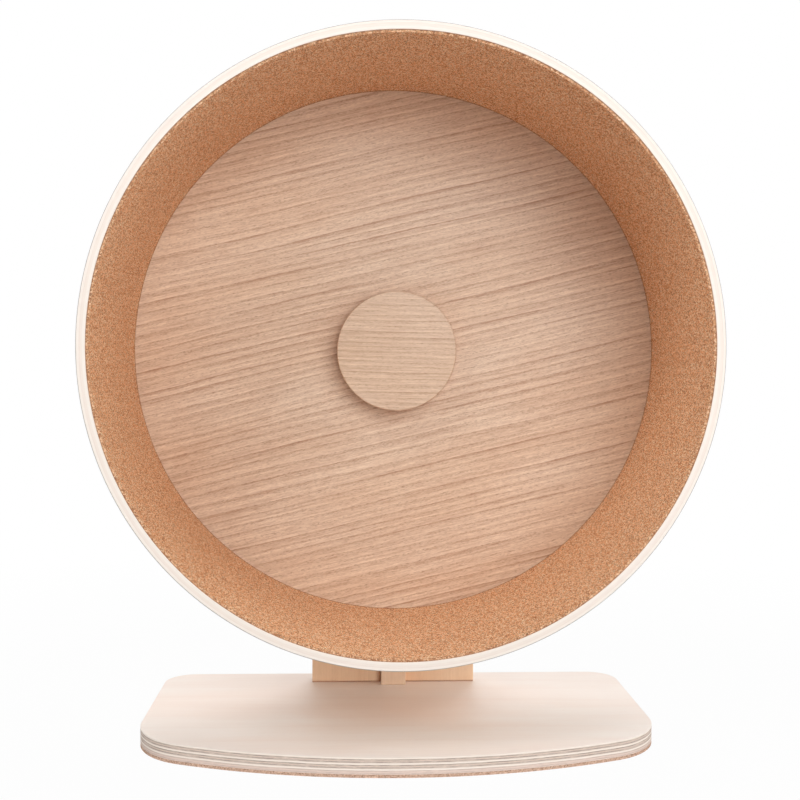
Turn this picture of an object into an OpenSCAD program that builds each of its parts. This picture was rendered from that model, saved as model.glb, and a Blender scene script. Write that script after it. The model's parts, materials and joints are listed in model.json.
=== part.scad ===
// Rodent exercise wheel: a cork-lined plywood drum with an oak-faced back, carried on two small
// ball bearings in front of a plywood stand. It stands on Z = 0, the open side faces -Y, and the
// origin is under the middle of its bounding box. Millimetres.

/* [Drum] */
// Outside diameter of the bent plywood hoop
wheel_d = 300; // [260:5:340]
// Thickness of the hoop
hoop_wall = 4.5; // [3:0.5:6]
// Thickness of the cork running track glued inside the hoop
track_wall = 1.5; // [1:0.25:3]
// Clear depth of the drum, from its open edge to the back plate
track_depth = 110; // [90:5:130]
// Thickness of the oak-faced back plate
plate_t = 5; // [4:0.5:8]
// Width of the small chamfer on the hoop's arrises
hoop_chamfer = 0.6; // [0.2:0.1:1.2]

/* [Hub] */
// Outside diameter of the beech boss glued in front of the back plate
boss_d = 50; // [44:1:56]
// Outside diameter of the oak cap
cap_d = 65; // [60:1:80]
// Width of the chamfer round the cap's face
cap_chamfer = 0.6; // [0.2:0.2:2]
// Wood left in front of the cap's hollow
cap_front_t = 2.5; // [2:0.5:6]
// Room between the bolt head and the cap's hollow
cap_head_room = 1; // [0.5:0.5:3]
// Diameter of the cap's hollow around the bolt head
cap_hollow_d = 24; // [18:1:30]
// Thickness of the boss's lip that holds the front bearing
boss_lip_t = 1.5; // [1:0.25:3]
// Width of the shoulder that holds each bearing's outer ring
bearing_shoulder = 1; // [0.5:0.25:1.25]
// Outside diameter of the steel retaining plate behind the back plate
retainer_d = 44; // [40:1:56]
// Thickness of the retaining plate
retainer_t = 1.2; // [0.8:0.2:2]
// How many screws hold the retaining plate
hub_screw_count = 4; // [3:1:8]
// Diameter of the circle on which the hub screws lie
hub_screw_pcd = 34; // [30:1:36]
// Diameter of a hub screw's shank
hub_screw_d = 3; // [2.5:0.5:4]
// Diameter of a hub screw's pan head
hub_screw_head_d = 5.6; // [5:0.2:7]
// Height of a hub screw's pan head
hub_screw_head_t = 1.8; // [1.2:0.2:2.4]
// Length of a hub screw under its head
hub_screw_len = 12; // [9:1:14]

/* [Bearings] */
// Bore of each ball bearing
bearing_bore = 6; // [5:1:6]
// Outside diameter of each ball bearing
bearing_d = 19; // [17:1:22]
// Width of each ball bearing
bearing_w = 6; // [5:0.5:7]
// Diameter of a bearing ball
ball_d = 3.5; // [2.5:0.25:3.5]
// How many balls each bearing holds
ball_count = 7; // [5:1:7]
// Thickness of each ring where the shoulders are
ring_wall = 1.9; // [1.6:0.1:2.1]
// Thickness of a bearing's dust shields
shield_t = 0.4; // [0.2:0.05:0.5]
// How far each shield is set back from the face of the rings
shield_inset = 0.15; // [0.1:0.05:0.2]
// How far each shield reaches into the outer ring
shield_lap = 0.4; // [0.2:0.1:0.6]
// Running gap between each shield and the inner ring
shield_gap = 0.2; // [0.1:0.05:0.4]
// Running gap between each ball and its grooves
ball_gap = 0.03; // [0.02:0.01:0.05]
// Radial thickness of the ball cage
cage_wall = 0.8; // [0.5:0.1:1]
// Material left beside each pocket of the cage
cage_side_t = 0.35; // [0.2:0.05:0.4]
// Width of the shim between the two inner rings
shim_w = 1; // [0.5:0.5:4]

/* [Axle] */
// Diameter of the axle bolt's head
bolt_head_d = 10.5; // [9:0.5:12]
// Height of the bolt head
bolt_head_t = 3.3; // [2.5:0.1:4]
// Height of the straight rim below the head's dome
bolt_rim_t = 1; // [0.6:0.1:1.4]
// Diameter of the flat on the head's dome
bolt_dome_d = 6.5; // [6:0.25:8]
// Width across the flats of the head's socket
bolt_socket_w = 4; // [3:0.5:5]
// Depth of the socket
bolt_socket_depth = 2; // [1:0.25:2.5]
// Outside diameter of the washer in front of the bearings
washer_d = 9.6; // [8.5:0.2:9.9]
// Thickness of that washer
washer_t = 1.2; // [0.8:0.2:2]
// Outside diameter of the sleeve between the rear bearing and the stand
spacer_d = 9; // [8.5:0.5:10]
// Diameter of the sleeve's flange against the stand
spacer_flange_d = 24; // [18:1:30]
// Thickness of that flange
spacer_flange_t = 1.5; // [1:0.5:3]
// Diameter of the tee nut's flange behind the stand
tee_flange_d = 19; // [16:1:24]
// Thickness of the tee nut's flange
tee_flange_t = 1.2; // [1:0.2:2]
// Diameter of the tee nut's barrel
tee_barrel_d = 7.8; // [7.4:0.2:9]
// Length of the tee nut's barrel
tee_barrel_len = 7.5; // [5:0.5:8]
// How deep the tee nut's prongs reach into the wood
tee_prong_len = 4; // [2:0.5:6]
// Width of a prong
tee_prong_w = 2.4; // [1.5:0.1:3]
// Thickness of a prong
tee_prong_t = 1.2; // [0.8:0.1:1.6]

/* [Stand] */
// Width of the upright board
board_w = 93; // [70:1:120]
// Thickness of the upright board
board_t = 9; // [8:0.5:12]
// Width of the upright rib that crosses the board
rib_w = 14; // [10:1:20]
// How far the rib stands in front of the board
rib_proud = 6.5; // [4:0.5:10]
// Height of the rib above the base
rib_h = 130; // [90:5:150]
// Height of the rib's straight rear edge before it leans in
rib_heel_h = 26; // [15:1:60]
// Thickness of the rib's rear leg at its top
rib_rear_top_t = 3; // [2:0.5:5]
// Radius of the rib's front top corner
rib_nose_r = 5; // [2:0.5:6]
// Gap between the spinning back plate and the rib
wheel_gap = 5; // [4:0.5:10]
// Gap between the base and the lowest point of the hoop
wheel_clear = 40.5; // [20:0.5:60]

/* [Base] */
// Width of the base board
base_w = 262; // [220:2:300]
// Depth of the base board at its middle
base_d = 144; // [130:1:180]
// Thickness of the base board
base_t = 8; // [6:0.5:12]
// Thickness of the cork pad under it
pad_t = 1.5; // [1:0.5:4]
// Radius of the bowed front edge
bow_r = 285; // [240:5:400]
// Radius of the front corners
front_corner_r = 38; // [15:1:50]
// Radius of the rear corners
rear_corner_r = 16; // [5:1:30]
// Wood behind the upright board, which is also how far the rib's heel reaches
rear_margin = 9.5; // [6:0.5:20]
// Distance from the middle to each outer base screw
base_screw_x = 32; // [20:1:40]
// Diameter of a base screw's shank
base_screw_d = 4; // [3:0.5:5]
// Diameter of a base screw's countersunk head
base_screw_head_d = 8; // [7:0.5:9]
// Length of a base screw with its head
base_screw_len = 30; // [20:1:40]
// Length of its point
base_screw_tip = 4; // [2:0.5:6]
// Width of the cross slots in every screw head
screw_slot_w = 0.9; // [0.6:0.1:1.2]
// Depth of those slots
screw_slot_depth = 1; // [0.5:0.1:1.3]
// Room around each screw head in the cork pad
pad_hole_room = 1; // [0.5:0.5:3]

/* [Fits] */
// Gap around glued, pushed-in and screwed-in pieces
fit_gap = 0.05; // [0.03:0.01:0.15]
// Gap on each side of the slots where the board and the rib cross
lap_gap = 0.1; // [0.05:0.05:0.3]

/* [Hidden] */

// The stack runs from the base's rear edge forward to the drum's open edge
stack_d = track_depth + plate_t + wheel_gap + rib_proud + board_t + rear_margin;
base_back_y = max(stack_d, base_d) / 2;
front_y = base_back_y - stack_d;
plate_front_y = front_y + track_depth;
plate_back_y = plate_front_y + plate_t;
rib_front_y = plate_back_y + wheel_gap;
board_front_y = rib_front_y + rib_proud;
board_mid_y = board_front_y + board_t / 2;
board_back_y = board_front_y + board_t;

// Heights
base_top_z = pad_t + base_t;
axle_z = base_top_z + wheel_clear + wheel_d / 2;
rib_top_z = base_top_z + rib_h;
lap_z = base_top_z + rib_h / 2;

// Drum radii
hoop_r = wheel_d / 2;
hoop_inner_r = hoop_r - hoop_wall;
track_r = hoop_inner_r - track_wall;

// The bearings lie one behind the other, and the rear one ends level with the back plate
rear_bearing_y = plate_back_y - bearing_w;
front_bearing_y = rear_bearing_y - shim_w - bearing_w;
boss_front_y = front_bearing_y - boss_lip_t;
washer_y = front_bearing_y - washer_t;
bolt_head_y = washer_y - bolt_head_t;
cap_hollow_y = bolt_head_y - cap_head_room;
cap_front_y = cap_hollow_y - cap_front_t;
retainer_back_y = plate_back_y + retainer_t;

// Bearing sections
bearing_seat_d = bearing_d + 2 * fit_gap;
shoulder_d = bearing_d - 2 * bearing_shoulder;
pitch_r = (bearing_d + bearing_bore) / 4;
inner_ring_r = bearing_bore / 2 + ring_wall;
outer_ring_r = bearing_d / 2 - ring_wall;
shield_r = outer_ring_r + shield_lap;
bolt_d = bearing_bore - 2 * fit_gap;

// Polygon counts of large, middling and small rounds
$fn = 64;
large_fn = 240;
small_fn = 32;
cut = 1; // how far a cutting shape runs past the face that it opens

// A cylinder along +Y on the axle's line, from y0 for length len
module axle_rod(d, y0, len, d2 = undef, fn = $fn) {
    translate([0, y0, axle_z])
        rotate([-90, 0, 0])
            cylinder(d1 = d, d2 = is_undef(d2) ? d : d2, h = len, $fn = fn);
}

// A tube along +Y on the axle's line
module axle_tube(d_out, d_in, y0, len, fn = $fn) {
    difference() {
        axle_rod(d_out, y0, len, fn = fn);
        axle_rod(d_in, y0 - cut, len + 2 * cut, fn = fn);
    }
}

// A section drawn as [radius, y] and turned about the axle's line
module turned(points, fn = $fn) {
    translate([0, 0, axle_z])
        rotate([-90, 0, 0])
            rotate_extrude($fn = fn)
                polygon(points);
}

// Places a copy at each hub screw
module at_hub_screws() {
    for (i = [0 : hub_screw_count - 1])
        translate([0, 0, axle_z])
            rotate([0, 45 + i * 360 / hub_screw_count, 0])
                translate([hub_screw_pcd / 2, 0, 0])
                    rotate([-90, 0, 0])
                        children();
}

// Places a copy at each base screw: two into the board and one into the rib
module at_base_screws() {
    for (x = [-base_screw_x, 0, base_screw_x])
        translate([x, board_mid_y, 0])
            children();
}

// Crossed driver slots of length across, cut into a head whose flat face is at z = 0
module cross_recess(across) {
    for (turn = [0, 90])
        rotate([0, 0, turn])
            translate([-across / 2, -screw_slot_w / 2, -cut])
                cube([across, screw_slot_w, screw_slot_depth + cut]);
}

// Outline of the base, seen from above: straight back and sides, rounded corners, bowed front
module base_outline() {
    side_x = base_w / 2;
    bow_centre_y = base_back_y - base_d + bow_r;
    corner_x = side_x - front_corner_r;
    corner_drop = sqrt(pow(bow_r - front_corner_r, 2) - pow(corner_x, 2));
    corner_y = bow_centre_y - corner_drop;
    meet = bow_r / (bow_r - front_corner_r);
    rear_x = side_x - rear_corner_r;
    rear_y = base_back_y - rear_corner_r;
    intersection() {
        translate([0, bow_centre_y])
            circle(r = bow_r, $fn = large_fn * 2);
        translate([-corner_x * meet, base_back_y - base_d - cut])
            square([2 * corner_x * meet, corner_y - base_back_y + base_d + 2 * cut]);
    }
    for (side = [-1, 1]) {
        translate([side * corner_x, corner_y])
            circle(r = front_corner_r);
        translate([side * rear_x, rear_y])
            circle(r = rear_corner_r);
    }
    translate([-side_x, corner_y])
        square([base_w, rear_y - corner_y]);
    translate([-rear_x, corner_y])
        square([2 * rear_x, base_back_y - corner_y]);
}

// A countersunk screw pointing up, with its head's flat face at z = 0
module base_screw(grow = 0) {
    head_h = (base_screw_head_d - base_screw_d) / 2;
    tip_d = base_screw_d / 4;
    cylinder(
        d1 = base_screw_head_d + 2 * grow, d2 = base_screw_d + 2 * grow,
        h = head_h, $fn = small_fn
    );
    translate([0, 0, head_h])
        cylinder(
            d = base_screw_d + 2 * grow,
            h = base_screw_len - head_h - base_screw_tip + grow, $fn = small_fn
        );
    translate([0, 0, base_screw_len - base_screw_tip + grow])
        cylinder(
            d1 = base_screw_d + 2 * grow, d2 = tip_d + 2 * grow,
            h = base_screw_tip, $fn = small_fn
        );
}

module base_board() {
    color("antiquewhite")
        difference() {
            translate([0, 0, pad_t])
                linear_extrude(base_t)
                    base_outline();
            at_base_screws()
                translate([0, 0, pad_t])
                    base_screw(fit_gap);
            at_base_screws()
                translate([0, 0, pad_t - cut])
                    cylinder(d = base_screw_head_d + 2 * fit_gap, h = cut, $fn = small_fn);
        }
}

module base_cork_pad() {
    color("peru")
        difference() {
            linear_extrude(pad_t)
                base_outline();
            at_base_screws()
                translate([0, 0, -cut])
                    cylinder(d = base_screw_head_d + 2 * pad_hole_room, h = pad_t + 2 * cut);
        }
}

module base_screws() {
    color("silver")
        at_base_screws()
            translate([0, 0, pad_t])
                difference() {
                    base_screw();
                    cross_recess(base_screw_d);
                }
}

// Board: straight sides and a round top about the axle. Its slot, open below, takes the rib.
module upright_board() {
    color("burlywood")
        difference() {
            union() {
                translate([-board_w / 2, board_front_y, base_top_z])
                    cube([board_w, board_t, axle_z - base_top_z]);
                axle_rod(board_w, board_front_y, board_t, fn = large_fn);
            }
            translate([-rib_w / 2 - lap_gap, board_front_y - cut, base_top_z - cut])
                cube([rib_w + 2 * lap_gap, board_t + 2 * cut, lap_z - base_top_z + cut]);
            axle_rod(tee_barrel_d + 2 * fit_gap, board_front_y - cut, board_t + 2 * cut);
            tee_prongs(fit_gap, cut);
            at_base_screws()
                translate([0, 0, pad_t])
                    base_screw(fit_gap);
        }
}

// Rib: its heel reaches the base's rear edge, and its slot, open above, takes the board
module upright_rib() {
    rear_top_y = board_back_y + rib_rear_top_t;
    color("burlywood")
        difference() {
            translate([rib_w / 2, 0, 0])
                rotate([0, -90, 0])
                    linear_extrude(rib_w)
                        difference() {
                            polygon([
                                [base_top_z, rib_front_y],
                                [rib_top_z, rib_front_y],
                                [rib_top_z, rear_top_y],
                                [base_top_z + rib_heel_h, base_back_y],
                                [base_top_z, base_back_y]
                            ]);
                            translate([rib_top_z - rib_nose_r, rib_front_y + rib_nose_r])
                                difference() {
                                    translate([0, -rib_nose_r - cut])
                                        square([rib_nose_r + cut, rib_nose_r + cut]);
                                    circle(r = rib_nose_r);
                                }
                        }
            translate([-rib_w / 2 - cut, board_front_y - lap_gap, lap_z])
                cube([rib_w + 2 * cut, board_t + 2 * lap_gap, rib_top_z - lap_z + cut]);
            at_base_screws()
                translate([0, 0, pad_t])
                    base_screw(fit_gap);
        }
}

// Domed head with a hexagon socket, and a plain shank that stands for the thread
module axle_bolt() {
    socket_r = bolt_socket_w / 2 / cos(30);
    dome_t = bolt_head_t - bolt_rim_t;
    color("silver")
        difference() {
            union() {
                axle_rod(bolt_dome_d, bolt_head_y, dome_t, d2 = bolt_head_d);
                axle_rod(bolt_head_d, washer_y - bolt_rim_t, bolt_rim_t);
                axle_rod(bolt_d, washer_y, board_back_y - washer_y);
            }
            translate([0, bolt_head_y - cut, axle_z])
                rotate([-90, 0, 0])
                    cylinder(r = socket_r, h = bolt_socket_depth + cut, $fn = 6);
        }
}

module axle_washer() {
    color("silver")
        axle_tube(washer_d, bearing_bore + 2 * fit_gap, washer_y, washer_t);
}

// Sleeve from the rear inner ring to the board, with a flange that spreads the load on the wood
module axle_spacer() {
    flange_y = board_front_y - spacer_flange_t;
    color("silver")
        difference() {
            union() {
                axle_rod(spacer_d, plate_back_y, board_front_y - plate_back_y);
                axle_rod(spacer_flange_d, flange_y, spacer_flange_t);
            }
            axle_rod(
                bearing_bore + 2 * fit_gap, plate_back_y - cut,
                board_front_y - plate_back_y + 2 * cut
            );
        }
}

// The tee nut's four prongs, turned in from its flange, or the pockets that they press into
// the board
module tee_prongs(grow = 0, past = 0) {
    reach_r = tee_flange_d / 2 - 1.5 * tee_prong_t;
    for (i = [0 : 3])
        translate([0, board_back_y - tee_prong_len - grow, axle_z])
            rotate([0, i * 90, 0])
                translate([reach_r - grow, 0, -tee_prong_w / 2 - grow])
                    cube([
                        tee_prong_t + 2 * grow,
                        tee_prong_len + grow + past,
                        tee_prong_w + 2 * grow
                    ]);
}

module axle_tee_nut() {
    barrel_y = board_back_y - tee_barrel_len;
    color("lightgray")
        difference() {
            union() {
                axle_rod(tee_barrel_d, barrel_y, tee_barrel_len);
                axle_rod(tee_flange_d, board_back_y, tee_flange_t);
                tee_prongs(past = tee_flange_t / 2);
            }
            axle_rod(
                bearing_bore, barrel_y - cut,
                tee_barrel_len + tee_flange_t + 2 * cut
            );
        }
}

// The torus that the balls run in, cut into both rings of a bearing that starts at y0
module ball_groove(y0) {
    translate([0, y0 + bearing_w / 2, axle_z])
        rotate([-90, 0, 0])
            rotate_extrude($fn = $fn)
                translate([pitch_r, 0])
                    circle(d = ball_d + 2 * ball_gap, $fn = small_fn);
}

module bearing_inner_ring(y0) {
    color("silver")
        difference() {
            axle_tube(2 * inner_ring_r, bearing_bore, y0, bearing_w);
            ball_groove(y0);
        }
}

// Keeps the two inner rings apart, so that the bolt can clamp them
module inner_ring_shim() {
    color("silver")
        axle_tube(washer_d, bearing_bore, front_bearing_y + bearing_w, shim_w);
}

// Each end has a step that the dust shield is pressed into
module bearing_outer_ring(y0) {
    seat_d = 2 * (shield_r + fit_gap);
    seat_t = shield_inset + shield_t;
    color("silver")
        difference() {
            axle_tube(bearing_d, 2 * outer_ring_r, y0, bearing_w);
            ball_groove(y0);
            axle_rod(seat_d, y0 - cut, seat_t + cut);
            axle_rod(seat_d, y0 + bearing_w - seat_t, seat_t + cut);
        }
}

module bearing_shields(y0) {
    inner_d = 2 * (inner_ring_r + shield_gap);
    color("dimgray")
        for (y = [y0 + shield_inset, y0 + bearing_w - shield_inset - shield_t])
            axle_tube(2 * shield_r, inner_d, y, shield_t);
}

// Places a copy at each ball of a bearing that starts at y0
module at_balls(y0) {
    translate([0, y0 + bearing_w / 2, axle_z])
        for (i = [0 : ball_count - 1])
            rotate([0, i * 360 / ball_count, 0])
                translate([pitch_r, 0, 0])
                    children();
}

module bearing_balls(y0) {
    color("white")
        at_balls(y0)
            sphere(d = ball_d, $fn = small_fn);
}

// Ribbon cage with a round pocket for each ball
module bearing_cage(y0) {
    pocket_d = ball_d + 4 * ball_gap;
    cage_w = pocket_d + 2 * cage_side_t;
    cage_y = y0 + (bearing_w - cage_w) / 2;
    color("ivory")
        difference() {
            axle_tube(2 * pitch_r + cage_wall, 2 * pitch_r - cage_wall, cage_y, cage_w);
            at_balls(y0)
                rotate([0, 90, 0])
                    cylinder(d = pocket_d, h = 2 * cage_wall, center = true, $fn = small_fn);
        }
}

// Bent plywood hoop with eased arrises. Its rear edge is level with the back plate.
module rim_hoop() {
    c = hoop_chamfer;
    color("seashell")
        turned([
            [hoop_inner_r, front_y + c / 2],
            [hoop_inner_r + c / 2, front_y],
            [hoop_r - c, front_y],
            [hoop_r, front_y + c],
            [hoop_r, plate_back_y - c],
            [hoop_r - c, plate_back_y],
            [hoop_inner_r, plate_back_y]
        ], large_fn);
}

// Cork lining, glued inside the hoop from just inside the open edge to the back plate
module running_track() {
    color("peru")
        axle_tube(
            2 * (hoop_inner_r - fit_gap), 2 * track_r,
            front_y + hoop_chamfer / 2, track_depth - hoop_chamfer / 2, fn = large_fn
        );
}

module back_plate() {
    color("tan")
        difference() {
            axle_rod(2 * (hoop_inner_r - fit_gap), plate_front_y, plate_t, fn = large_fn);
            axle_rod(bearing_seat_d, plate_front_y - cut, plate_t + 2 * cut);
            at_hub_screws()
                translate([0, 0, plate_front_y - cut])
                    cylinder(d = hub_screw_d + 2 * fit_gap, h = plate_t + 2 * cut, $fn = small_fn);
        }
}

// Turned beech boss that holds the bearings. Its lip keeps the front one in.
module hub_boss() {
    color("wheat")
        difference() {
            axle_rod(boss_d, boss_front_y, plate_front_y - boss_front_y);
            axle_rod(bearing_seat_d, front_bearing_y, plate_front_y - front_bearing_y + cut);
            axle_rod(shoulder_d, boss_front_y - cut, boss_lip_t + 2 * cut);
            at_hub_screws()
                translate([0, 0, retainer_back_y - hub_screw_len - fit_gap])
                    cylinder(d = hub_screw_d + 2 * fit_gap, h = hub_screw_len, $fn = small_fn);
        }
}

// Oak cap, hollowed to push over the boss and to clear the bolt head
module hub_cap() {
    recess_y = boss_front_y - fit_gap;
    color("tan")
        difference() {
            turned([
                [0, cap_front_y],
                [cap_d / 2 - cap_chamfer, cap_front_y],
                [cap_d / 2, cap_front_y + cap_chamfer],
                [cap_d / 2, plate_front_y],
                [0, plate_front_y]
            ], 2 * $fn);
            axle_rod(boss_d + 2 * fit_gap, recess_y, plate_front_y - recess_y + cut);
            axle_rod(cap_hollow_d, cap_hollow_y, recess_y - cap_hollow_y + cut);
        }
}

module hub_retaining_plate() {
    color("silver")
        difference() {
            axle_tube(retainer_d, shoulder_d, plate_back_y, retainer_t);
            at_hub_screws()
                translate([0, 0, plate_back_y - cut])
                    cylinder(d = hub_screw_d + 2 * fit_gap, h = retainer_t + 2 * cut, $fn = small_fn);
        }
}

// Pan-head screws that go in from behind, through the back plate and into the boss
module hub_screws() {
    head_end_y = retainer_back_y + hub_screw_head_t;
    color("silver")
        at_hub_screws()
            difference() {
                union() {
                    translate([0, 0, retainer_back_y - hub_screw_len])
                        cylinder(d = hub_screw_d, h = hub_screw_len, $fn = small_fn);
                    translate([0, 0, retainer_back_y])
                        cylinder(
                            d1 = hub_screw_head_d, d2 = hub_screw_head_d * 0.8,
                            h = hub_screw_head_t, $fn = small_fn
                        );
                }
                translate([0, 0, head_end_y])
                    mirror([0, 0, 1])
                        cross_recess(hub_screw_d);
            }
}

base_board();
base_cork_pad();
base_screws();
upright_board();
upright_rib();
axle_bolt();
axle_washer();
axle_spacer();
axle_tee_nut();
bearing_inner_ring(front_bearing_y);  // front_bearing_inner_ring
bearing_inner_ring(rear_bearing_y);  // rear_bearing_inner_ring
inner_ring_shim();
rim_hoop();
running_track();
back_plate();
hub_boss();
hub_cap();
hub_retaining_plate();
hub_screws();
bearing_outer_ring(front_bearing_y);  // front_bearing_outer_ring
bearing_outer_ring(rear_bearing_y);  // rear_bearing_outer_ring
bearing_shields(front_bearing_y);  // front_bearing_shields
bearing_shields(rear_bearing_y);  // rear_bearing_shields
bearing_cage(front_bearing_y);  // front_bearing_cage
bearing_balls(front_bearing_y);  // front_bearing_balls
bearing_cage(rear_bearing_y);  // rear_bearing_cage
bearing_balls(rear_bearing_y);  // rear_bearing_balls
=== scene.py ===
# %% [markdown]
# # A plywood exercise wheel
# The imported model is the skeleton of this scene: every piece already has its real size and its
# place in it, in metres. This script leaves that skeleton alone and dresses it. Each wooden piece
# is modelled again with soft arrises and small irregularities, each material is painted with
# nodes, and then come a floor, lamps and a camera.

# %% Load the imported frame
import json
import math

import bmesh
import bpy
from mathutils import Matrix, Vector, noise

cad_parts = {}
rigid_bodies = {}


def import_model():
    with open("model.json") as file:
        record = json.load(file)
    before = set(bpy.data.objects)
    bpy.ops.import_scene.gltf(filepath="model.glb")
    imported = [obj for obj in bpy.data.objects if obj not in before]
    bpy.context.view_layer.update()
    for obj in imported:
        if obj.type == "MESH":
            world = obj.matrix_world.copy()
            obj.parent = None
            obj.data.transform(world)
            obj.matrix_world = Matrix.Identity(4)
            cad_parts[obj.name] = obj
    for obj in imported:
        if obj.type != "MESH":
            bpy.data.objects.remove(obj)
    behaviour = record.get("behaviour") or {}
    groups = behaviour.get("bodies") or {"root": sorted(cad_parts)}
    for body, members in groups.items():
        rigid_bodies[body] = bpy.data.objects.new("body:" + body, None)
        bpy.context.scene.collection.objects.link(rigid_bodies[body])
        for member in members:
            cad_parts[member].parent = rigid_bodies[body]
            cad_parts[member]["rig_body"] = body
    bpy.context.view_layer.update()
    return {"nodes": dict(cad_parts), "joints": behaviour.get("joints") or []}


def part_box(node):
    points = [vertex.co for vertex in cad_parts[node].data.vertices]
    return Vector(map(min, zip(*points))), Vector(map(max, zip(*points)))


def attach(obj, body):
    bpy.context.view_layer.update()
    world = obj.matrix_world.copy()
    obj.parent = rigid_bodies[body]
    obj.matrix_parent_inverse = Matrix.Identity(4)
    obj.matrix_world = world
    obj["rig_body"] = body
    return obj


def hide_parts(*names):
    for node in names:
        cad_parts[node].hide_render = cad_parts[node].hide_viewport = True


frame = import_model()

MM = 0.001

# %% [markdown]
# ## Where the axle runs
# Nearly everything here is turned about one line, the axle. The frame's record already says where
# that line is, as the place of the joint that the drum spins on, so it is read from there. The
# boxes of the largest pieces are read too, because both the finishes and the pieces use them.

# %% Read the axle's place and the main sizes
spin_joint = next(joint for joint in frame["joints"] if joint["name"] == "wheel_spin")
AXLE = Vector((0, 0, spin_joint["pos_m"][2]))
base_low, base_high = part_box("base_board")
board_low, board_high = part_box("upright_board")
hoop_low, hoop_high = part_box("rim_hoop")
track_low, track_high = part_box("running_track")
plate_low, plate_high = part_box("back_plate")
HOOP_R = hoop_high.z - AXLE.z
HOOP_WALL = 4.5 * MM
CORK_R = track_high.x
CORK_WALL = 1.45 * MM
TRACK_R = CORK_R - CORK_WALL
print("The axle is", round(AXLE.z / MM, 1), "mm above the floor")
print("The hoop is", round(2 * HOOP_R / MM, 1), "mm across outside")

# %% [markdown]
# ## The camera
# The view is from straight in front, about as high as the axle and only half a metre away, which
# is why so much of the cork lining shows. The place, the turn and the lens come from a pinhole
# camera fitted to the drum's circles and to the base's edges. A camera looks along its own -Z,
# so it is first stood up by a quarter turn about X, and then gets its small yaw, pitch and roll.

# %% Place the camera
QUARTER = math.radians(90)
camera_data = bpy.data.cameras.new("front_camera")
camera_data.lens = 50.31
camera_data.sensor_width = 36.0
camera_data.clip_start = 0.01
camera = bpy.data.objects.new("front_camera", camera_data)
bpy.context.scene.collection.objects.link(camera)
bpy.context.scene.camera = camera

camera_place = Vector((-24.03, -586.23, 192.38)) * MM
yaw, pitch, roll = (math.radians(angle) for angle in (-2.441, -1.790, -0.290))
look = Matrix.Rotation(yaw, 4, "Z") @ Matrix.Rotation(pitch, 4, "X") @ Matrix.Rotation(roll, 4, "Y")
camera.matrix_world = Matrix.Translation(camera_place) @ look @ Matrix.Rotation(QUARTER, 4, "X")
print("The camera is", round(-camera_place.y, 3), "m in front of the axle's middle")

# %% [markdown]
# ## Small tools for nodes
# A material is a net of nodes, and writing one by hand takes three lines per node. `add` puts a
# node into a tree, sets its properties and fills its inputs: a number is written into the
# socket, and another node's output is connected to it. The helpers after it do sums, mix two
# colours and stretch a range, which are the steps that come back most.

# %% Helpers that add nodes
def add(tree, kind, inputs, **settings):
    """Add a shader node, set its properties, and fill or connect its inputs."""
    node = tree.nodes.new("ShaderNode" + kind)
    node.location.x = 180 * len(tree.nodes)
    for name, value in settings.items():
        setattr(node, name, value)
    for key, value in inputs.items():
        if isinstance(value, bpy.types.NodeSocket):
            tree.links.new(value, node.inputs[key])
        else:
            node.inputs[key].default_value = value
    return node


def calc(tree, operation, first, second=0.0, third=0.0):
    """The result of one sum. Any term may be a number or a socket."""
    return add(tree, "Math", {0: first, 1: second, 2: third}, operation=operation).outputs[0]


def mix(tree, factor, first, second, blend="MIX"):
    """Two colours mixed by a factor."""
    inputs = {0: factor, 6: first, 7: second}
    return add(tree, "Mix", inputs, data_type="RGBA", blend_type=blend).outputs[2]


def stretch(tree, value, low, high):
    """Values from low to high, stretched to run from 0 to 1 and held there."""
    inputs = {"Value": value, "From Min": low, "From Max": high}
    return add(tree, "MapRange", inputs, clamp=True).outputs[0]


def ramp(tree, factor, stops):
    """A colour ramp through stops, each a place from 0 to 1 and a colour."""
    node = add(tree, "ValToRGB", {0: factor})
    elements = node.color_ramp.elements
    elements[0].position, elements[0].color = stops[0]
    elements[-1].position, elements[-1].color = stops[-1]
    for place, colour in stops[1:-1]:
        elements.new(place).color = colour
    return node.outputs[0]


def lay_stain_and_shade(tree, shader, mask, strength, colour):
    """Lay a colour over a shader's base colour where a mask is 1, for real stains and for painted
    shade.
    """
    under = shader.inputs["Base Color"].links[0].from_socket
    over = mix(tree, calc(tree, "MULTIPLY", mask, strength), under, colour)
    tree.links.new(over, shader.inputs["Base Color"])


def srgb(red, green, blue):
    """A colour as it is read off a screen, 0 to 255, in the linear values that sockets take."""
    linear = [(level / 255 + 0.055) / 1.055 for level in (red, green, blue)]
    return (*[level ** 2.4 for level in linear], 1.0)


print("Mid grey on a screen, 128, is", round(srgb(128, 128, 128)[0], 3), "in linear light")

# %% [markdown]
# ## Noise with a direction
# Wood, cork and brushed steel all need noise whose blobs have a real size, and mostly one that
# is far longer one way than the other. Dividing the coordinates by the wanted size of a blob
# does both at once: a noise texture of scale 1 then has blobs of that size in metres.

# %% Helpers for coordinates and noise
def mm(*sizes):
    """Sizes that are given in millimetres, in metres."""
    return tuple(size * MM for size in sizes)


def sized_noise(tree, vector, size, detail=2.0, roughness=0.5):
    """Noise whose blobs are size long, wide and deep: a tuple in metres, or a socket."""
    scaled = add(tree, "VectorMath", {0: vector, 1: size}, operation="DIVIDE").outputs[0]
    inputs = {"Vector": scaled, "Scale": 1.0, "Detail": detail, "Roughness": roughness}
    return add(tree, "TexNoise", inputs).outputs[0]


def object_vector(tree, centre=(0, 0, 0), turn=(0, 0, 0), stretched=(1, 1, 1)):
    """Object coordinates from centre, turned by turn, in radians, with a pattern stretched."""
    place = add(tree, "TexCoord", {}).outputs["Object"]
    inputs = {"Vector": place, "Location": centre, "Rotation": turn, "Scale": stretched}
    return add(tree, "Mapping", inputs, vector_type="TEXTURE").outputs[0]


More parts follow.
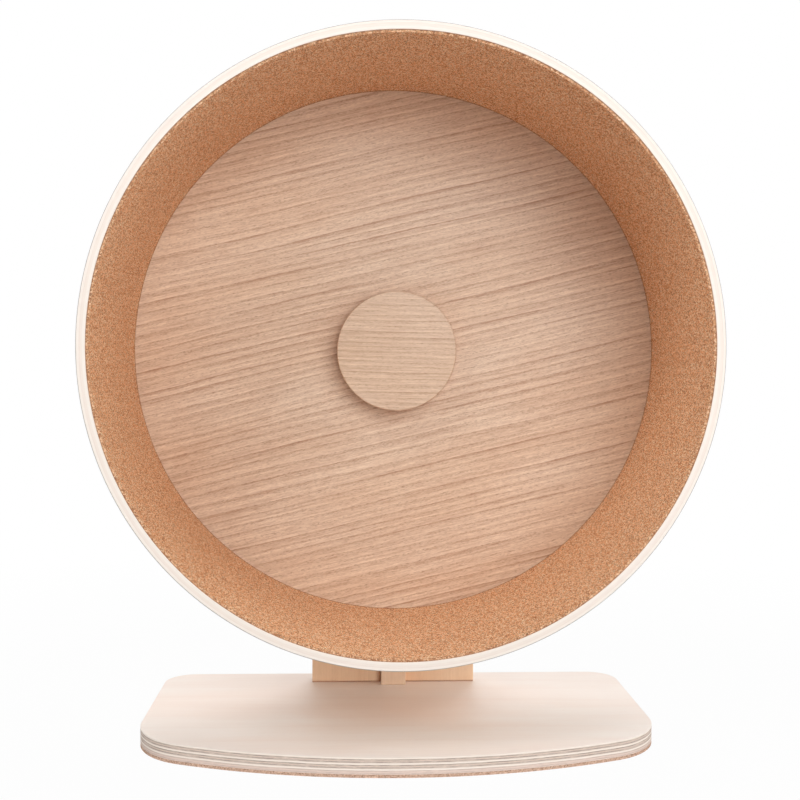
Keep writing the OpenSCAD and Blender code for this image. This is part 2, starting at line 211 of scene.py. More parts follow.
def split(tree, vector):
    """The X, Y and Z of a vector."""
    return add(tree, "SeparateXYZ", {0: vector}).outputs


def join(tree, x, y, z):
    """A vector from three values."""
    return add(tree, "CombineXYZ", {0: x, 1: y, 2: z}).outputs[0]


def how_far(tree, vector):
    """How long a vector is."""
    return add(tree, "VectorMath", {0: vector}, operation="LENGTH").outputs["Value"]


def new_group(name, takes, gives):
    """An empty node group. An input's default is a number, or None for a vector."""
    group = bpy.data.node_groups.new(name, "ShaderNodeTree")
    for label, default in takes.items():
        kind = "NodeSocketVector" if default is None else "NodeSocketFloat"
        socket = group.interface.new_socket(name=label, in_out="INPUT", socket_type=kind)
        if default is not None:
            socket.default_value = default
    for label in gives:
        group.interface.new_socket(name=label, in_out="OUTPUT", socket_type="NodeSocketFloat")
    taken = group.nodes.new("NodeGroupInput").outputs
    given = group.nodes.new("NodeGroupOutput").inputs
    return group, taken, given


def new_finish(name, roughness, **plain):
    """A material with a Principled BSDF. What is the same all over is set on its own socket."""
    material = bpy.data.materials.new(name)
    material.use_nodes = True
    shader = material.node_tree.nodes["Principled BSDF"]
    shader.inputs["Roughness"].default_value = roughness
    for label, value in plain.items():
        shader.inputs[label.replace("_", " ")].default_value = value
    return material, material.node_tree, shader

def dress(tree, shader, colour, height, strength, distance):
    """Give a shader its base colour, and a relief from a height."""
    tree.links.new(colour, shader.inputs["Base Color"])
    bump = add(tree, "Bump", {"Strength": strength, "Distance": distance, "Height": height})
    tree.links.new(bump.outputs[0], shader.inputs["Normal"])


print("The back plate is as wide as", round(2 * plate_high.x / (4 * MM)), "noise blobs of 4 mm")

# %% [markdown]
# ## Coordinates that follow the hoop
# The hoop's veneer is bent round the drum, so its grain can't use flat coordinates. The angle
# about the axle, times the radius, unrolls it: that length runs round the hoop, and Y runs
# across its width. The angle is counted from the top, so it jumps from one end of its range to
# the other at the bottom, which is where the real strip's two ends meet.

# %% Node group: unrolled about the axle
tree, taken, given = new_group(
    "unrolled_about_axle", {"Vector": None, "Radius": 150 * MM}, ["Round", "Out"]
)
across_x, unused, up_z = split(tree, taken["Vector"])
angle = calc(tree, "ARCTAN2", across_x, up_z)
tree.links.new(calc(tree, "MULTIPLY", angle, taken["Radius"]), given["Round"])
squares = calc(tree, "MULTIPLY_ADD", across_x, across_x, calc(tree, "MULTIPLY", up_z, up_z))
tree.links.new(calc(tree, "SQRT", squares), given["Out"])
unroll_group = tree


def unrolled(tree):
    """How far round the drum, how far along the axle, and how far out from it."""
    vector = object_vector(tree, AXLE)
    group = add(tree, "Group", {"Vector": vector}, node_tree=unroll_group)
    return group.outputs["Round"], split(tree, vector)[1], group.outputs["Out"]


print("Unrolled, the hoop is a strip", round(math.tau * HOOP_R / MM), "mm long")

# %% [markdown]
# ## Wood grain
# A sliced face of wood shows four things at once. Growth rings cross it as bands that darken
# slowly, end in a thin dark line and break off, never two alike. Fine streaks run with the
# fibres. Open pores are short dark dashes that crowd into the dark side of each ring. Broad
# clouds drift through all of it. The rings are a saw wave: the height across the grain is bent by
# a slow noise and divided by the ring's width, and the part after the decimal point climbs from
# 0 to 1 in each ring. A low power of it is the slow darkening, and a high power is the thin
# line. The part before the point is the ring's number, which gives each ring its own strength.
# One group makes all of this as masks, so each wood can mix them in its own colours.

# %% Node group: wood grain
tree, taken, given = new_group(
    "wood_grain",
    {"Vector": None, "Ring width": 4 * MM, "Wander": 8 * MM, "Streak width": 0.9 * MM,
     "Streak length": 45 * MM, "Pore length": 3 * MM},
    ["Ring", "Streak", "Fibre", "Pore", "Cloud"],
)
sway = sized_noise(tree, taken["Vector"], mm(260, 90, 90), detail=1.0)
sway = calc(tree, "MULTIPLY", calc(tree, "SUBTRACT", sway, 0.5), taken["Wander"])
wobble = sized_noise(tree, taken["Vector"], mm(45, 8, 8))
wobble = calc(tree, "MULTIPLY_ADD", wobble, 1.2 * MM, sway)
along, depth, across = split(tree, taken["Vector"])
across = calc(tree, "ADD", across, wobble)
followed = join(tree, along, depth, across)

crowding = sized_noise(tree, followed, mm(600, 26, 26), detail=1.0)
ring_place = calc(tree, "DIVIDE", across, taken["Ring width"])
ring_place = calc(tree, "MULTIPLY_ADD", crowding, 3.0, ring_place)
saw = calc(tree, "FRACT", ring_place)
ring_number = calc(tree, "FLOOR", ring_place)
drawn = add(tree, "TexWhiteNoise", {"W": ring_number}, noise_dimensions="1D").outputs["Value"]
fading = stretch(tree, sized_noise(tree, followed, mm(70, 7, 7)), 0.2, 0.55)
strength = calc(tree, "MULTIPLY", calc(tree, "MULTIPLY_ADD", drawn, 0.65, 0.35), fading)
slow_rise = calc(tree, "MULTIPLY", calc(tree, "POWER", saw, 1.5), 0.75)
thin_line = calc(tree, "MULTIPLY", calc(tree, "POWER", saw, 9.0), 0.75)
late_wood = calc(tree, "ADD", slow_rise, thin_line)
late_wood = calc(tree, "MULTIPLY", late_wood, stretch(tree, saw, 1.0, 0.9))
tree.links.new(calc(tree, "MULTIPLY", late_wood, strength), given["Ring"])

streak_size = join(tree, taken["Streak length"], taken["Streak width"], taken["Streak width"])
streak = sized_noise(tree, followed, streak_size, roughness=0.6)
tree.links.new(stretch(tree, streak, 0.3, 0.7), given["Streak"])
fibre = sized_noise(tree, followed, mm(7, 0.55, 0.55), detail=3.0, roughness=0.8)
tree.links.new(stretch(tree, fibre, 0.3, 0.7), given["Fibre"])

pore_width = 0.4 * MM
pore_size = join(tree, taken["Pore length"], pore_width, pore_width)
pore = stretch(tree, sized_noise(tree, followed, pore_size, detail=1.0), 0.52, 0.68)
crowd = calc(tree, "MULTIPLY_ADD", saw, 0.8, 0.2)
tree.links.new(calc(tree, "MULTIPLY", pore, crowd), given["Pore"])

cloud = sized_noise(tree, followed, mm(110, 28, 28))
tree.links.new(stretch(tree, cloud, 0.35, 0.65), given["Cloud"])
grain_group = tree
print("wood_grain has", len(grain_group.nodes), "nodes")

# %% [markdown]
# ## Painting a face of wood
# A wood's look is then a handful of colours and weights: how much the rings count, how much the
# streaks do, and how deep the pores are. The same masks also raise and lower the surface a
# little, because fibres stand up where the blade cut them and pores are tiny troughs.

# %% Paint wood with the grain group
def paint_wood(tree, shader, vector, colours, weights, sizes, relief=0.04 * MM):
    """Colour and relief of a face of wood.

    colours: pale wood, dark wood, the tint of clouds, pores, each as read off a screen.
    weights: how much rings, streaks, fibres, clouds and pores count.
    sizes: values for the grain group's inputs."""
    grain = add(tree, "Group", {"Vector": vector, **sizes}, node_tree=grain_group).outputs
    pale, deep, tint, pore_colour = (srgb(*colour) for colour in colours)
    rings, streaks, fibres, clouds, pores = weights
    tone = calc(tree, "MULTIPLY", grain["Ring"], rings)
    tone = calc(tree, "MULTIPLY_ADD", grain["Streak"], streaks, tone)
    tone = calc(tree, "MULTIPLY_ADD", grain["Fibre"], fibres, tone)
    colour = mix(tree, tone, pale, deep)
    cloudy = calc(tree, "MULTIPLY", grain["Cloud"], clouds)
    colour = mix(tree, cloudy, colour, tint, blend="MULTIPLY")
    colour = mix(tree, calc(tree, "MULTIPLY", grain["Pore"], pores), colour, pore_colour)
    height = calc(tree, "SUBTRACT", calc(tree, "MULTIPLY", grain["Fibre"], 0.5), grain["Pore"])
    dress(tree, shader, colour, height, 0.6, relief)


def grain_sizes(ring_width, wander, streak_width, streak_length, pore_length):
    """The grain group's sizes, all given in millimetres."""
    labels = ("Ring width", "Wander", "Streak width", "Streak length", "Pore length")
    values = (ring_width, wander, streak_width, streak_length, pore_length)
    return {label: value * MM for label, value in zip(labels, values)}


print("Sizes of a 4 mm grain:", grain_sizes(4, 8, 1, 45, 2))

# %% [markdown]
# ## Oak veneer on the back plate
# The plate is faced with crown-free oak veneer, pinkish, with its grain rising to the right by
# about fourteen degrees. The coordinates are measured from the axle and turned by that angle, so
# that the grain group's X runs with the fibres. The wood is rubbed to a satin, so the lamps in
# front leave a broad pale sheen to the right of the cap. Round the cap, a thin dark ring of
# painted shade lies on the plate, made by a mask on the distance from the axle. The cap is a
# slightly yellower piece of oak, with finer and level grain.

# %% Finish: oak veneer and oak cap
oak_veneer, tree, shader = new_finish("sliced_oak_veneer", 0.45)
paint_wood(
    tree, shader, object_vector(tree, AXLE, (0, math.radians(-13.5), 0)),
    colours=((250, 230, 206), (181, 140, 111), (247, 235, 224), (149, 108, 82)),
    weights=(0.56, 0.34, 0.44, 0.5, 0.55),
    sizes=grain_sizes(4.5, 9, 1.0, 50, 1.8),
    relief=0.02 * MM,
)
CAP_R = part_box("hub_cap")[1].x
# A thin ring of painted shade round the cap, darkest where the cap meets the plate.
cap_shade_width = 2.4 * MM
along_axle, outward = unrolled(tree)[1:]
painted_cap_shade = stretch(tree, outward, CAP_R + cap_shade_width, CAP_R)
in_front = stretch(tree, along_axle, plate_high.y, plate_low.y)
lay_stain_and_shade(tree, shader, calc(tree, "MULTIPLY", painted_cap_shade, in_front), 0.27, srgb(120, 76, 52))

oak_cap, tree, shader = new_finish("turned_oak", 0.48)
other_board = Vector((0, 0, 0.3))
paint_wood(
    tree, shader, object_vector(tree, AXLE + other_board, (0, math.radians(1.0), 0)),
    colours=((241, 217, 192), (180, 143, 115), (250, 243, 232), (161, 124, 95)),
    weights=(0.4, 0.38, 0.4, 0.5, 0.45),
    sizes=grain_sizes(2.9, 4, 0.8, 40, 2),
)
print("Oak finishes:", oak_veneer.name, oak_cap.name)

# %% [markdown]
# ## Pale plywood faces
# The base and the outside of the hoop are faced with rotary-cut birch. It has hardly any rings,
# only faint broad bands and short silky streaks, so the same group is used with wide rings at a
# low weight. On the base the grain runs from side to side, and a soft warm oval of painted shade
# lies in its middle, under the drum. The stand's face is a warmer wood whose grain runs upwards,
# so its coordinates are turned by a quarter. A dark line of glue and painted shade runs where the
# board stands on the base, and painted shade darkens the board along the rib's left side.

# %% Finish: faces of the base and the stand
base_face, tree, shader = new_finish("base_face", 0.5)
paint_wood(
    tree, shader, object_vector(tree, turn=(QUARTER, 0, 0)),
    colours=((251, 243, 236), (231, 209, 196), (250, 240, 235), (218, 194, 181)),
    weights=(0.14, 0.12, 0.08, 0.6, 0.05),
    sizes=grain_sizes(17, 30, 1.6, 50, 2),
    relief=0.02 * MM,
)
# A soft warm oval of painted shade in the middle of the base, under the drum.
shade_centre = (0, 2 * MM, base_high.z)
from_shade_centre = how_far(tree, object_vector(tree, shade_centre, stretched=(1, 0.5, 1)))
lay_stain_and_shade(tree, shader, stretch(tree, from_shade_centre, 60 * MM, 0.0), 0.35, srgb(243, 196, 168))


def paint_stand(tree, shader, colours):
    """A warm, nearly plain face whose grain runs upwards."""
    paint_wood(
        tree, shader, object_vector(tree, turn=(0, -QUARTER, 0)), colours,
        weights=(0.14, 0.16, 0.14, 0.7, 0.1), sizes=grain_sizes(9, 14, 1.0, 45, 2.5),
        relief=0.03 * MM,
    )


RIB_HALF = 7 * MM
rib_low, rib_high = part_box("upright_rib")
board_face, tree, shader = new_finish("board_face", 0.55)
paint_stand(
    tree, shader, ((251, 217, 184), (219, 177, 137), (251, 240, 230), (194, 151, 116)),
)
sideways, unused, height = split(tree, object_vector(tree))
# A dark line of glue and painted shade where the board stands on the base.
foot_glue_and_shade = stretch(tree, height, base_high.z + 1.0 * MM, base_high.z + 0.3 * MM)
lay_stain_and_shade(tree, shader, foot_glue_and_shade, 0.75, srgb(150, 84, 52))
# Painted shade on the board along the rib's left side, below the lap.
left_of_rib_shaded = stretch(tree, sideways, -RIB_HALF - 2.6 * MM, -RIB_HALF - 0.6 * MM)
painted_rib_shade = calc(tree, "MULTIPLY", left_of_rib_shaded, stretch(tree, sideways, 0.0, -RIB_HALF))
below_lap = stretch(tree, height, rib_high.z + 1 * MM, rib_high.z)
lay_stain_and_shade(tree, shader, calc(tree, "MULTIPLY", painted_rib_shade, below_lap), 0.7, srgb(158, 88, 48))

rib_face, tree, shader = new_finish("rib_face", 0.55)
paint_stand(
    tree, shader, ((253, 224, 196), (227, 188, 156), (249, 241, 233), (205, 167, 136)),
)
print("Face finishes:", base_face.name, board_face.name, rib_face.name)

# %% [markdown]
# ## The hoop's face
# The outside of the hoop is the same birch, bent, so it takes the unrolled coordinates. Its grain
# runs across the strip, along the axle, because a strip bends far more easily that way.

# %% Finish: outside of the hoop
hoop_face, tree, shader = new_finish("hoop_face", 0.5)
round_way, along_axle, outward = unrolled(tree)
paint_wood(
    tree, shader, join(tree, along_axle, outward, round_way),
    colours=((243, 230, 216), (222, 197, 169), (250, 243, 232), (206, 178, 151)),
    weights=(0.3, 0.35, 0.2, 0.6, 0.15),
    sizes=grain_sizes(14, 18, 1.4, 45, 2),
    relief=0.03 * MM,
)
print("unrolled_about_axle has", len(unroll_group.nodes), "nodes")

# %% [markdown]
# ## Sawn edges of plywood
# A sawn edge shows the plies. Every other ply is cut along its fibres and stays pale, and the
# ones between are cut across, so they look greyer, with broken dark lines where the glue is.
# The group takes the depth into the board as a value from 0 to 1, repeats its pattern a given
# number of times, and puts out masks for the crosswise plies, the dark lines and small flecks.

# %% Node group: plywood edge
tree, taken, given = new_group(
    "ply_edge",
    {"Vector": None, "Depth": 0.0, "Repeats": 3.0, "Pale share": 0.27},
    ["Cross ply", "Dark line", "Fleck"],
)
wobble = sized_noise(tree, taken["Vector"], mm(18, 18, 18), detail=3.0)
wobble = calc(tree, "MULTIPLY", wobble, 0.16)
ply_place = calc(tree, "MULTIPLY_ADD", taken["Depth"], taken["Repeats"], wobble)
ply_place = calc(tree, "FRACT", calc(tree, "SUBTRACT", ply_place, 0.08))
past_pale = calc(tree, "SUBTRACT", ply_place, taken["Pale share"])
begun, not_ended = stretch(tree, past_pale, -0.03, 0.03), stretch(tree, ply_place, 1.0, 0.96)
tree.links.new(calc(tree, "MULTIPLY", begun, not_ended), given["Cross ply"])

first_line = calc(tree, "ABSOLUTE", calc(tree, "SUBTRACT", past_pale, 0.11))
second_line = calc(tree, "ABSOLUTE", calc(tree, "SUBTRACT", past_pale, 0.53))
nearest_line = calc(tree, "MINIMUM", first_line, second_line)
line_half_width = 0.1
line_mask = stretch(tree, nearest_line, line_half_width, 0.02)
broken = sized_noise(tree, taken["Vector"], mm(7, 7, 0.5), detail=3.0, roughness=0.65)
line_mask = calc(tree, "MULTIPLY", line_mask, stretch(tree, broken, 0.36, 0.56))
tree.links.new(line_mask, given["Dark line"])
fleck = sized_noise(tree, taken["Vector"], mm(2.4, 2.4, 0.4), detail=3.0, roughness=0.7)
tree.links.new(stretch(tree, fleck, 0.3, 0.7), given["Fleck"])
ply_group = tree
print("ply_edge has", len(ply_group.nodes), "nodes")

# %% [markdown]
# ## Painting a sawn edge
# The edge is painted in the order in which it darkens: the pale plies, then the crosswise ones,
# then the broken lines and the flecks. A picture of a real edge could be laid on instead, but
# it would have to be unwrapped and would fit one thickness only. The dark parts are also sunk a
# little, because a saw tears fibres that it meets end on.

# %% Paint an edge of plywood
def paint_ply_edge(tree, shader, vector, depth, repeats, pale_share, pale, cross, line,
                   lines=0.8, flecks=0.14):
    """Colour and relief of a sawn edge. depth is a socket that runs from 0 to 1."""
    inputs = {"Vector": vector, "Depth": depth, "Repeats": repeats, "Pale share": pale_share}
    ply = add(tree, "Group", inputs, node_tree=ply_group).outputs
    colour = mix(tree, ply["Cross ply"], pale, cross)
    colour = mix(tree, calc(tree, "MULTIPLY", ply["Dark line"], lines), colour, line)
    flecked = calc(tree, "MULTIPLY", ply["Fleck"], ply["Cross ply"])
    colour = mix(tree, calc(tree, "MULTIPLY", flecked, flecks), colour, line)
    height = calc(tree, "ADD", ply["Cross ply"], ply["Dark line"])
    dress(tree, shader, colour, height, 0.5, -0.05 * MM)


edge_masks = [item.name for item in ply_group.interface.items_tree if item.in_out == "OUTPUT"]
print("A sawn edge is painted from the masks", edge_masks)

# %% [markdown]
# ## The three plywoods' edges
# The base's edge shows three pale plies and three greyish ones, of which the lowest is pinker
# and cleaner. The hoop's front edge is sanded so smooth that its plies hardly show, so its two
# tones are nearly the same, and a thin grey line of painted shade runs along its outer arris. The
# depth is measured from the face that the frame gives: downwards in the base, inwards in the hoop
# and backwards in the stand.

# %% Finish: edges of the base, the hoop and the stand
base_edge, tree, shader = new_finish("base_edge", 0.65)
vector = object_vector(tree)
depth = stretch(tree, split(tree, vector)[2], base_high.z, base_low.z)
lowest_ply = stretch(tree, depth, 0.68, 0.72)
paint_ply_edge(
    tree, shader, vector, depth, repeats=3.0, pale_share=0.25,
    pale=srgb(250, 239, 228), line=srgb(132, 113, 101),
    cross=mix(tree, lowest_ply, srgb(230, 211, 197), srgb(236, 214, 201)),
    lines=calc(tree, "MULTIPLY_ADD", lowest_ply, -0.5, 0.85),
    flecks=calc(tree, "MULTIPLY_ADD", lowest_ply, -0.16, 0.34),
)

hoop_edge, tree, shader = new_finish("hoop_edge", 0.55)
round_way, along_axle, outward = unrolled(tree)
depth = stretch(tree, outward, HOOP_R, HOOP_R - HOOP_WALL)
paint_ply_edge(
    tree, shader, join(tree, round_way, along_axle, outward), depth, repeats=1.5, pale_share=0.5,
    pale=srgb(245, 234, 224), cross=srgb(243, 230, 219), line=srgb(223, 206, 194), lines=0.25,
)
# A thin grey line of painted shade along the outer arris.
arris = stretch(tree, outward, HOOP_R - 0.55 * MM, HOOP_R - 0.25 * MM)
lay_stain_and_shade(tree, shader, arris, 0.7, srgb(122, 122, 124))

stand_edge, tree, shader = new_finish("stand_edge", 0.65)
depth = stretch(tree, split(tree, object_vector(tree))[1], board_low.y, board_high.y)
turned = object_vector(tree, turn=(QUARTER, 0, 0))
paint_ply_edge(
    tree, shader, turned, depth, repeats=3.5, pale_share=0.5,
    pale=srgb(240, 214, 188), cross=srgb(210, 176, 144), line=srgb(160, 122, 92),
)
print("Edge finishes:", base_edge.name, hoop_edge.name, stand_edge.name)

# %% [markdown]
# ## Cork
# Cork sheet is ground bark pressed together with glue: grains about half a millimetre across,
# of every tone from pale straw to deep tan, and a few nearly brown where a bit of the outer bark
# got in. A Voronoi texture cuts space into such grains, and because it is solid, the drum's
# wall, its edges and the foot under the base are all cut from it without a seam. Each cell's
# random colour gives the grain its tone. The distance to the cell's edge sinks the glue between
# the grains.

# %% Node group: cork grains
tree, taken, given = new_group(
    "cork_grains", {"Vector": None, "Grain size": 1.0 * MM}, ["Tone", "Speck", "Edge"]
)
size = join(tree, taken["Grain size"], taken["Grain size"], taken["Grain size"])
scaled = add(tree, "VectorMath", {0: taken["Vector"], 1: size}, operation="DIVIDE").outputs[0]
jolt = add(tree, "TexNoise", {"Vector": scaled, "Scale": 0.7, "Detail": 1.0}).outputs["Color"]
scaled = add(tree, "VectorMath", {0: scaled, 1: jolt}, operation="ADD").outputs[0]
cells = add(tree, "TexVoronoi", {"Vector": scaled, "Scale": 1.0})
tone, chance = add(tree, "SeparateColor", {0: cells.outputs["Color"]}).outputs[:2]
tree.links.new(tone, given["Tone"])
tree.links.new(stretch(tree, chance, 0.86, 0.95), given["Speck"])
borders = add(tree, "TexVoronoi", {"Vector": scaled, "Scale": 1.0}, feature="DISTANCE_TO_EDGE")
tree.links.new(stretch(tree, borders.outputs["Distance"], 0.16, 0.0), given["Edge"])
cork_group = tree


def paint_cork(tree, shader, colours, grain_size, glue, relief=0.12 * MM, stretched=(1, 1, 1)):
    """Colour and relief of cork. colours: pale, middle and deep grains, and bark."""
    inputs = {"Vector": object_vector(tree, stretched=stretched), "Grain size": grain_size}
    grains = add(tree, "Group", inputs, node_tree=cork_group).outputs
    pale, middle, deep, bark = (srgb(*colour) for colour in colours)
    colour = ramp(tree, grains["Tone"], [(0.0, deep), (0.5, middle), (1.0, pale)])
    colour = mix(tree, calc(tree, "MULTIPLY", grains["Speck"], 0.6), colour, bark)
    colour = mix(tree, calc(tree, "MULTIPLY", grains["Edge"], glue), colour, bark)
    height = calc(tree, "MULTIPLY_ADD", grains["Edge"], -1.0, grains["Tone"])
    dress(tree, shader, colour, height, 0.7, relief)


print("cork_grains has", len(cork_group.nodes), "nodes")

# %% [markdown]
# ## Three looks of cork
# The lining was rolled flat and smooth, so its grains are a little longer along the axle and its
# relief is low, and a ragged dark line of glue and painted shade lies where it meets the plate.
# Its front edge was cut, which tears grains out, so there they are larger and rougher, and darker
# beside the hoop, where the glue is. The foot is a paler and pinker sheet. All three could be
# separate textures, but they are one bark, so one painter makes them with three sets of values.

# %% Finish: cork lining, its cut edge and the cork foot
cork_lining, tree, shader = new_finish("cork_lining", 0.85)
paint_cork(
    tree, shader, ((252, 235, 201), (245, 182, 130), (173, 104, 61), (125, 73, 41)),
    grain_size=0.42 * MM, glue=0.12, relief=0.05 * MM, stretched=(1, 1.6, 1),
)
# A ragged dark band of glue and painted shade where the lining meets the plate.
ragged = sized_noise(tree, object_vector(tree), mm(1.2, 1.2, 1.2))
glue_and_shade_at_plate = calc(tree, "MULTIPLY_ADD", ragged, 3 * MM, unrolled(tree)[1])
glue_and_shade_at_plate = stretch(tree, glue_and_shade_at_plate, track_high.y - 1.2 * MM, track_high.y + 1.6 * MM)
lay_stain_and_shade(tree, shader, glue_and_shade_at_plate, 0.62, srgb(130, 72, 40))

cork_cut, tree, shader = new_finish("cork_cut_edge", 0.9)
paint_cork(
    tree, shader, ((252, 214, 176), (222, 164, 120), (162, 106, 70), (112, 70, 44)),
    grain_size=0.6 * MM, glue=0.2,
)
at_hoop = stretch(tree, unrolled(tree)[2], CORK_R - 0.5 * MM, CORK_R - 0.1 * MM)
lay_stain_and_shade(tree, shader, at_hoop, 0.6, srgb(130, 80, 52))

cork_foot, tree, shader = new_finish("cork_foot", 0.9)
paint_cork(
    tree, shader, ((246, 212, 189), (228, 193, 168), (198, 155, 131), (133, 94, 75)),
    grain_size=0.42 * MM, glue=0.2,
)
print("Cork finishes:", cork_lining.name, cork_cut.name, cork_foot.name)

# %% [markdown]
# ## Steel and plastic
# The fasteners are zinc-plated, so they are cloudy rather than bright, and the bearings' parts
# are ground, with fine rings that follow the turning. Both are metal all over, so Metallic stays
# a plain value, and only the colour and the roughness change over the surface. The ball cages
# are moulded nylon, and the boss is beech, which is flecked with short brown rays.

# %% Finish: zinc plate, ground steel, nylon and beech
def paint_steel(tree, shader, vector, size, dull, bright, rough_low, rough_high):
    """Cloudy or ringed steel. size is how long, wide and deep a mark is."""
    marks = stretch(tree, sized_noise(tree, vector, size, detail=3.0), 0.3, 0.7)
    dress(tree, shader, mix(tree, marks, srgb(*dull), srgb(*bright)), marks, 0.2, 0.01 * MM)
    rough = calc(tree, "MULTIPLY_ADD", marks, rough_high - rough_low, rough_low)
    tree.links.new(rough, shader.inputs["Roughness"])


zinc_steel, tree, shader = new_finish("zinc_plated_steel", 0.4, Metallic=1.0)
paint_steel(
    tree, shader, object_vector(tree), mm(1.6, 1.6, 1.6),
    dull=(172, 176, 184), bright=(208, 210, 212), rough_low=0.28, rough_high=0.46,
)
ground_steel, tree, shader = new_finish("ground_steel", 0.25, Metallic=1.0)
paint_steel(
    tree, shader, join(tree, *unrolled(tree)), mm(60, 0.12, 0.12),
    dull=(188, 190, 194), bright=(222, 223, 225), rough_low=0.16, rough_high=0.3,
)
shield_steel, tree, shader = new_finish("pressed_steel", 0.35, Metallic=1.0)
paint_steel(
    tree, shader, join(tree, *unrolled(tree)), mm(40, 0.2, 0.2),
    dull=(132, 134, 138), bright=(164, 166, 170), rough_low=0.28, rough_high=0.42,
)

nylon, tree, shader = new_finish("cage_nylon", 0.45)
mottle = stretch(tree, sized_noise(tree, object_vector(tree), mm(0.8, 0.8, 0.8)), 0.3, 0.7)
mottled = mix(tree, mottle, srgb(232, 226, 206), srgb(240, 236, 220))
tree.links.new(mottled, shader.inputs["Base Color"])

beech, tree, shader = new_finish("turned_beech", 0.5)
paint_wood(
    tree, shader, object_vector(tree, AXLE, (0, 0, QUARTER)),
    colours=((226, 188, 150), (196, 150, 110), (246, 232, 216), (150, 100, 66)),
    weights=(0.35, 0.3, 0.3, 0.5, 0.5),
    sizes=grain_sizes(3, 3, 0.7, 20, 1.6),
)
hub_finishes = (zinc_steel, ground_steel, shield_steel, nylon, beech)
print("Hardware finishes:", *(finish.name for finish in hub_finishes))

# %% [markdown]
# ## From a bmesh to a finished piece
# Each piece is built as a bmesh and then handed over. Its faces are shaded smooth, except where
# two of them meet sharply. A Weighted Normal modifier keeps the large flat faces flat, so that
# only the eased arrises look round. The piece then rides on the body that its CAD nodes are on,
# and it stands for them: they are hidden, and it takes its finishes from the list it is given.

# %% Hand over a piece
def to_piece(bm, name, nodes, finishes, pick=None):
    """Make a piece from bm that stands for CAD nodes. pick chooses a face's finish by number."""
    for face in bm.faces:
        face.smooth = True
        face.material_index = pick(face) if pick else 0
    open_edges = sum(not edge.is_manifold for edge in bm.edges)
    mesh = bpy.data.meshes.new(name)
    bm.to_mesh(mesh)
    bm.free()
    mesh.set_sharp_from_angle(angle=math.radians(50))
    for finish in finishes:
        mesh.materials.append(finish)
    piece = bpy.data.objects.new(name, mesh)
    bpy.context.scene.collection.objects.link(piece)
    weighted = piece.modifiers.new("flat_faces_stay_flat", "WEIGHTED_NORMAL")
    weighted.keep_sharp = True
    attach(piece, frame["nodes"][nodes[0]]["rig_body"])
    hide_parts(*nodes)
    print(name, "has", len(mesh.polygons), "faces and", open_edges, "open edges")


# %% [markdown]
# ## Turning a section about the axle
# The hoop, the cork, the cap and the sleeve are all solids of revolution. Their section is drawn
# as a few corners, each a radius, a place along the axle and how far that corner is eased. A
# vertex bevel rounds the corners while the section is still a wire, which is cheaper and
# cleaner than bevelling long edges later. A full spin then turns the wire into a closed skin.

# %% Turn a section about the axle
ALONG_AXLE = (0, 1, 0)
SAME_PLACE = 0.001 * MM


def draw_section(bm, corners):
    """A wire through (radius, y, ease) corners, with the eased ones rounded."""
    points = [bm.verts.new(AXLE + Vector((0, y, radius))) for radius, y, ease in corners]
    for first, second in zip(points, points[1:] + points[:1]):
        on_the_axle = first.co.z == AXLE.z == second.co.z
        if not on_the_axle:
            bm.edges.new((first, second))
    for point, (radius, y, ease) in zip(points, corners):
        if ease:
            bmesh.ops.bevel(
                bm, geom=[point], offset=ease, offset_type="OFFSET", segments=3, profile=0.5,
                affect="VERTICES", material=-1,
            )


def turn_about_axle(bm, steps):
    """Spin everything in bm once about the axle and close the skin."""
    bmesh.ops.spin(
        bm, geom=bm.verts[:] + bm.edges[:], cent=AXLE, axis=ALONG_AXLE, dvec=(0, 0, 0),
        angle=math.tau, steps=steps, use_merge=True, use_duplicate=False,
    )
    bmesh.ops.remove_doubles(bm, verts=bm.verts, dist=SAME_PLACE)
    bmesh.ops.recalc_face_normals(bm, faces=bm.faces)


def faces_along_axle(face):
    """Whether a face looks along the axle rather than out from it."""
    return abs(face.normal.y) > 0.5


print("One degree of the hoop's rim is", round(math.radians(1) * HOOP_R / MM, 1), "mm long")

# %% [markdown]
# ## The bent hoop
# A strip of plywood is steamed, bent and closed with a butt joint. Its front edge is rounded
# over, a little more outside than inside, and its rear edge is level with the back plate. The
# joint is a real groove here: three cuts close together at the bottom, and the middle row
# pushed in. It shows from behind and below, and when the drum turns.

# %% Model the hoop
def bend_hoop():
    """The hoop, with its eased arrises and the joint where the strip's ends meet."""
    bm = bmesh.new()
    draw_section(bm, [
        (HOOP_R - HOOP_WALL, hoop_low.y, 0.3 * MM),
        (HOOP_R, hoop_low.y, 0.6 * MM),
        (HOOP_R, hoop_high.y, 0.6 * MM),
        (HOOP_R - HOOP_WALL, hoop_high.y, 0.15 * MM),
    ])
    turn_about_axle(bm, 360)
    groove_half_width, groove_depth, outer_skin = mm(0.25, 0.3, 0.7)
    for offset in (-groove_half_width, groove_half_width):
        low_faces = [face for face in bm.faces if face.calc_center_median().z < AXLE.z]
        edges = {edge for face in low_faces for edge in face.edges}
        points = {point for face in low_faces for point in face.verts}
        bmesh.ops.bisect_plane(
            bm, geom=[*low_faces, *edges, *points], plane_co=(offset, 0, 0), plane_no=(1, 0, 0),
        )
    for point in bm.verts:
        outside = AXLE.z - point.co.z > HOOP_R - outer_skin
        if outside and abs(point.co.x) < groove_half_width / 2:
            point.co.z += groove_depth
    to_piece(
        bm, "bent_hoop", ["rim_hoop"], [hoop_face, hoop_edge],
        pick=faces_along_axle,
    )


bend_hoop()

# %% [markdown]
# ## The cork running track
# The lining is a sheet of cork glued inside the hoop. Its wall is never quite even, and its
# front edge is a knife cut through the grains, so bits have crumbled away there. Both are made
# in the mesh. The section is split into many short stretches before it is spun, so there are
# enough points, and then a fixed noise moves them: everywhere by up to a tenth of a
# millimetre, and along the front edge by up to 0.6 mm, always into the cork, so the track stays
# within its size.

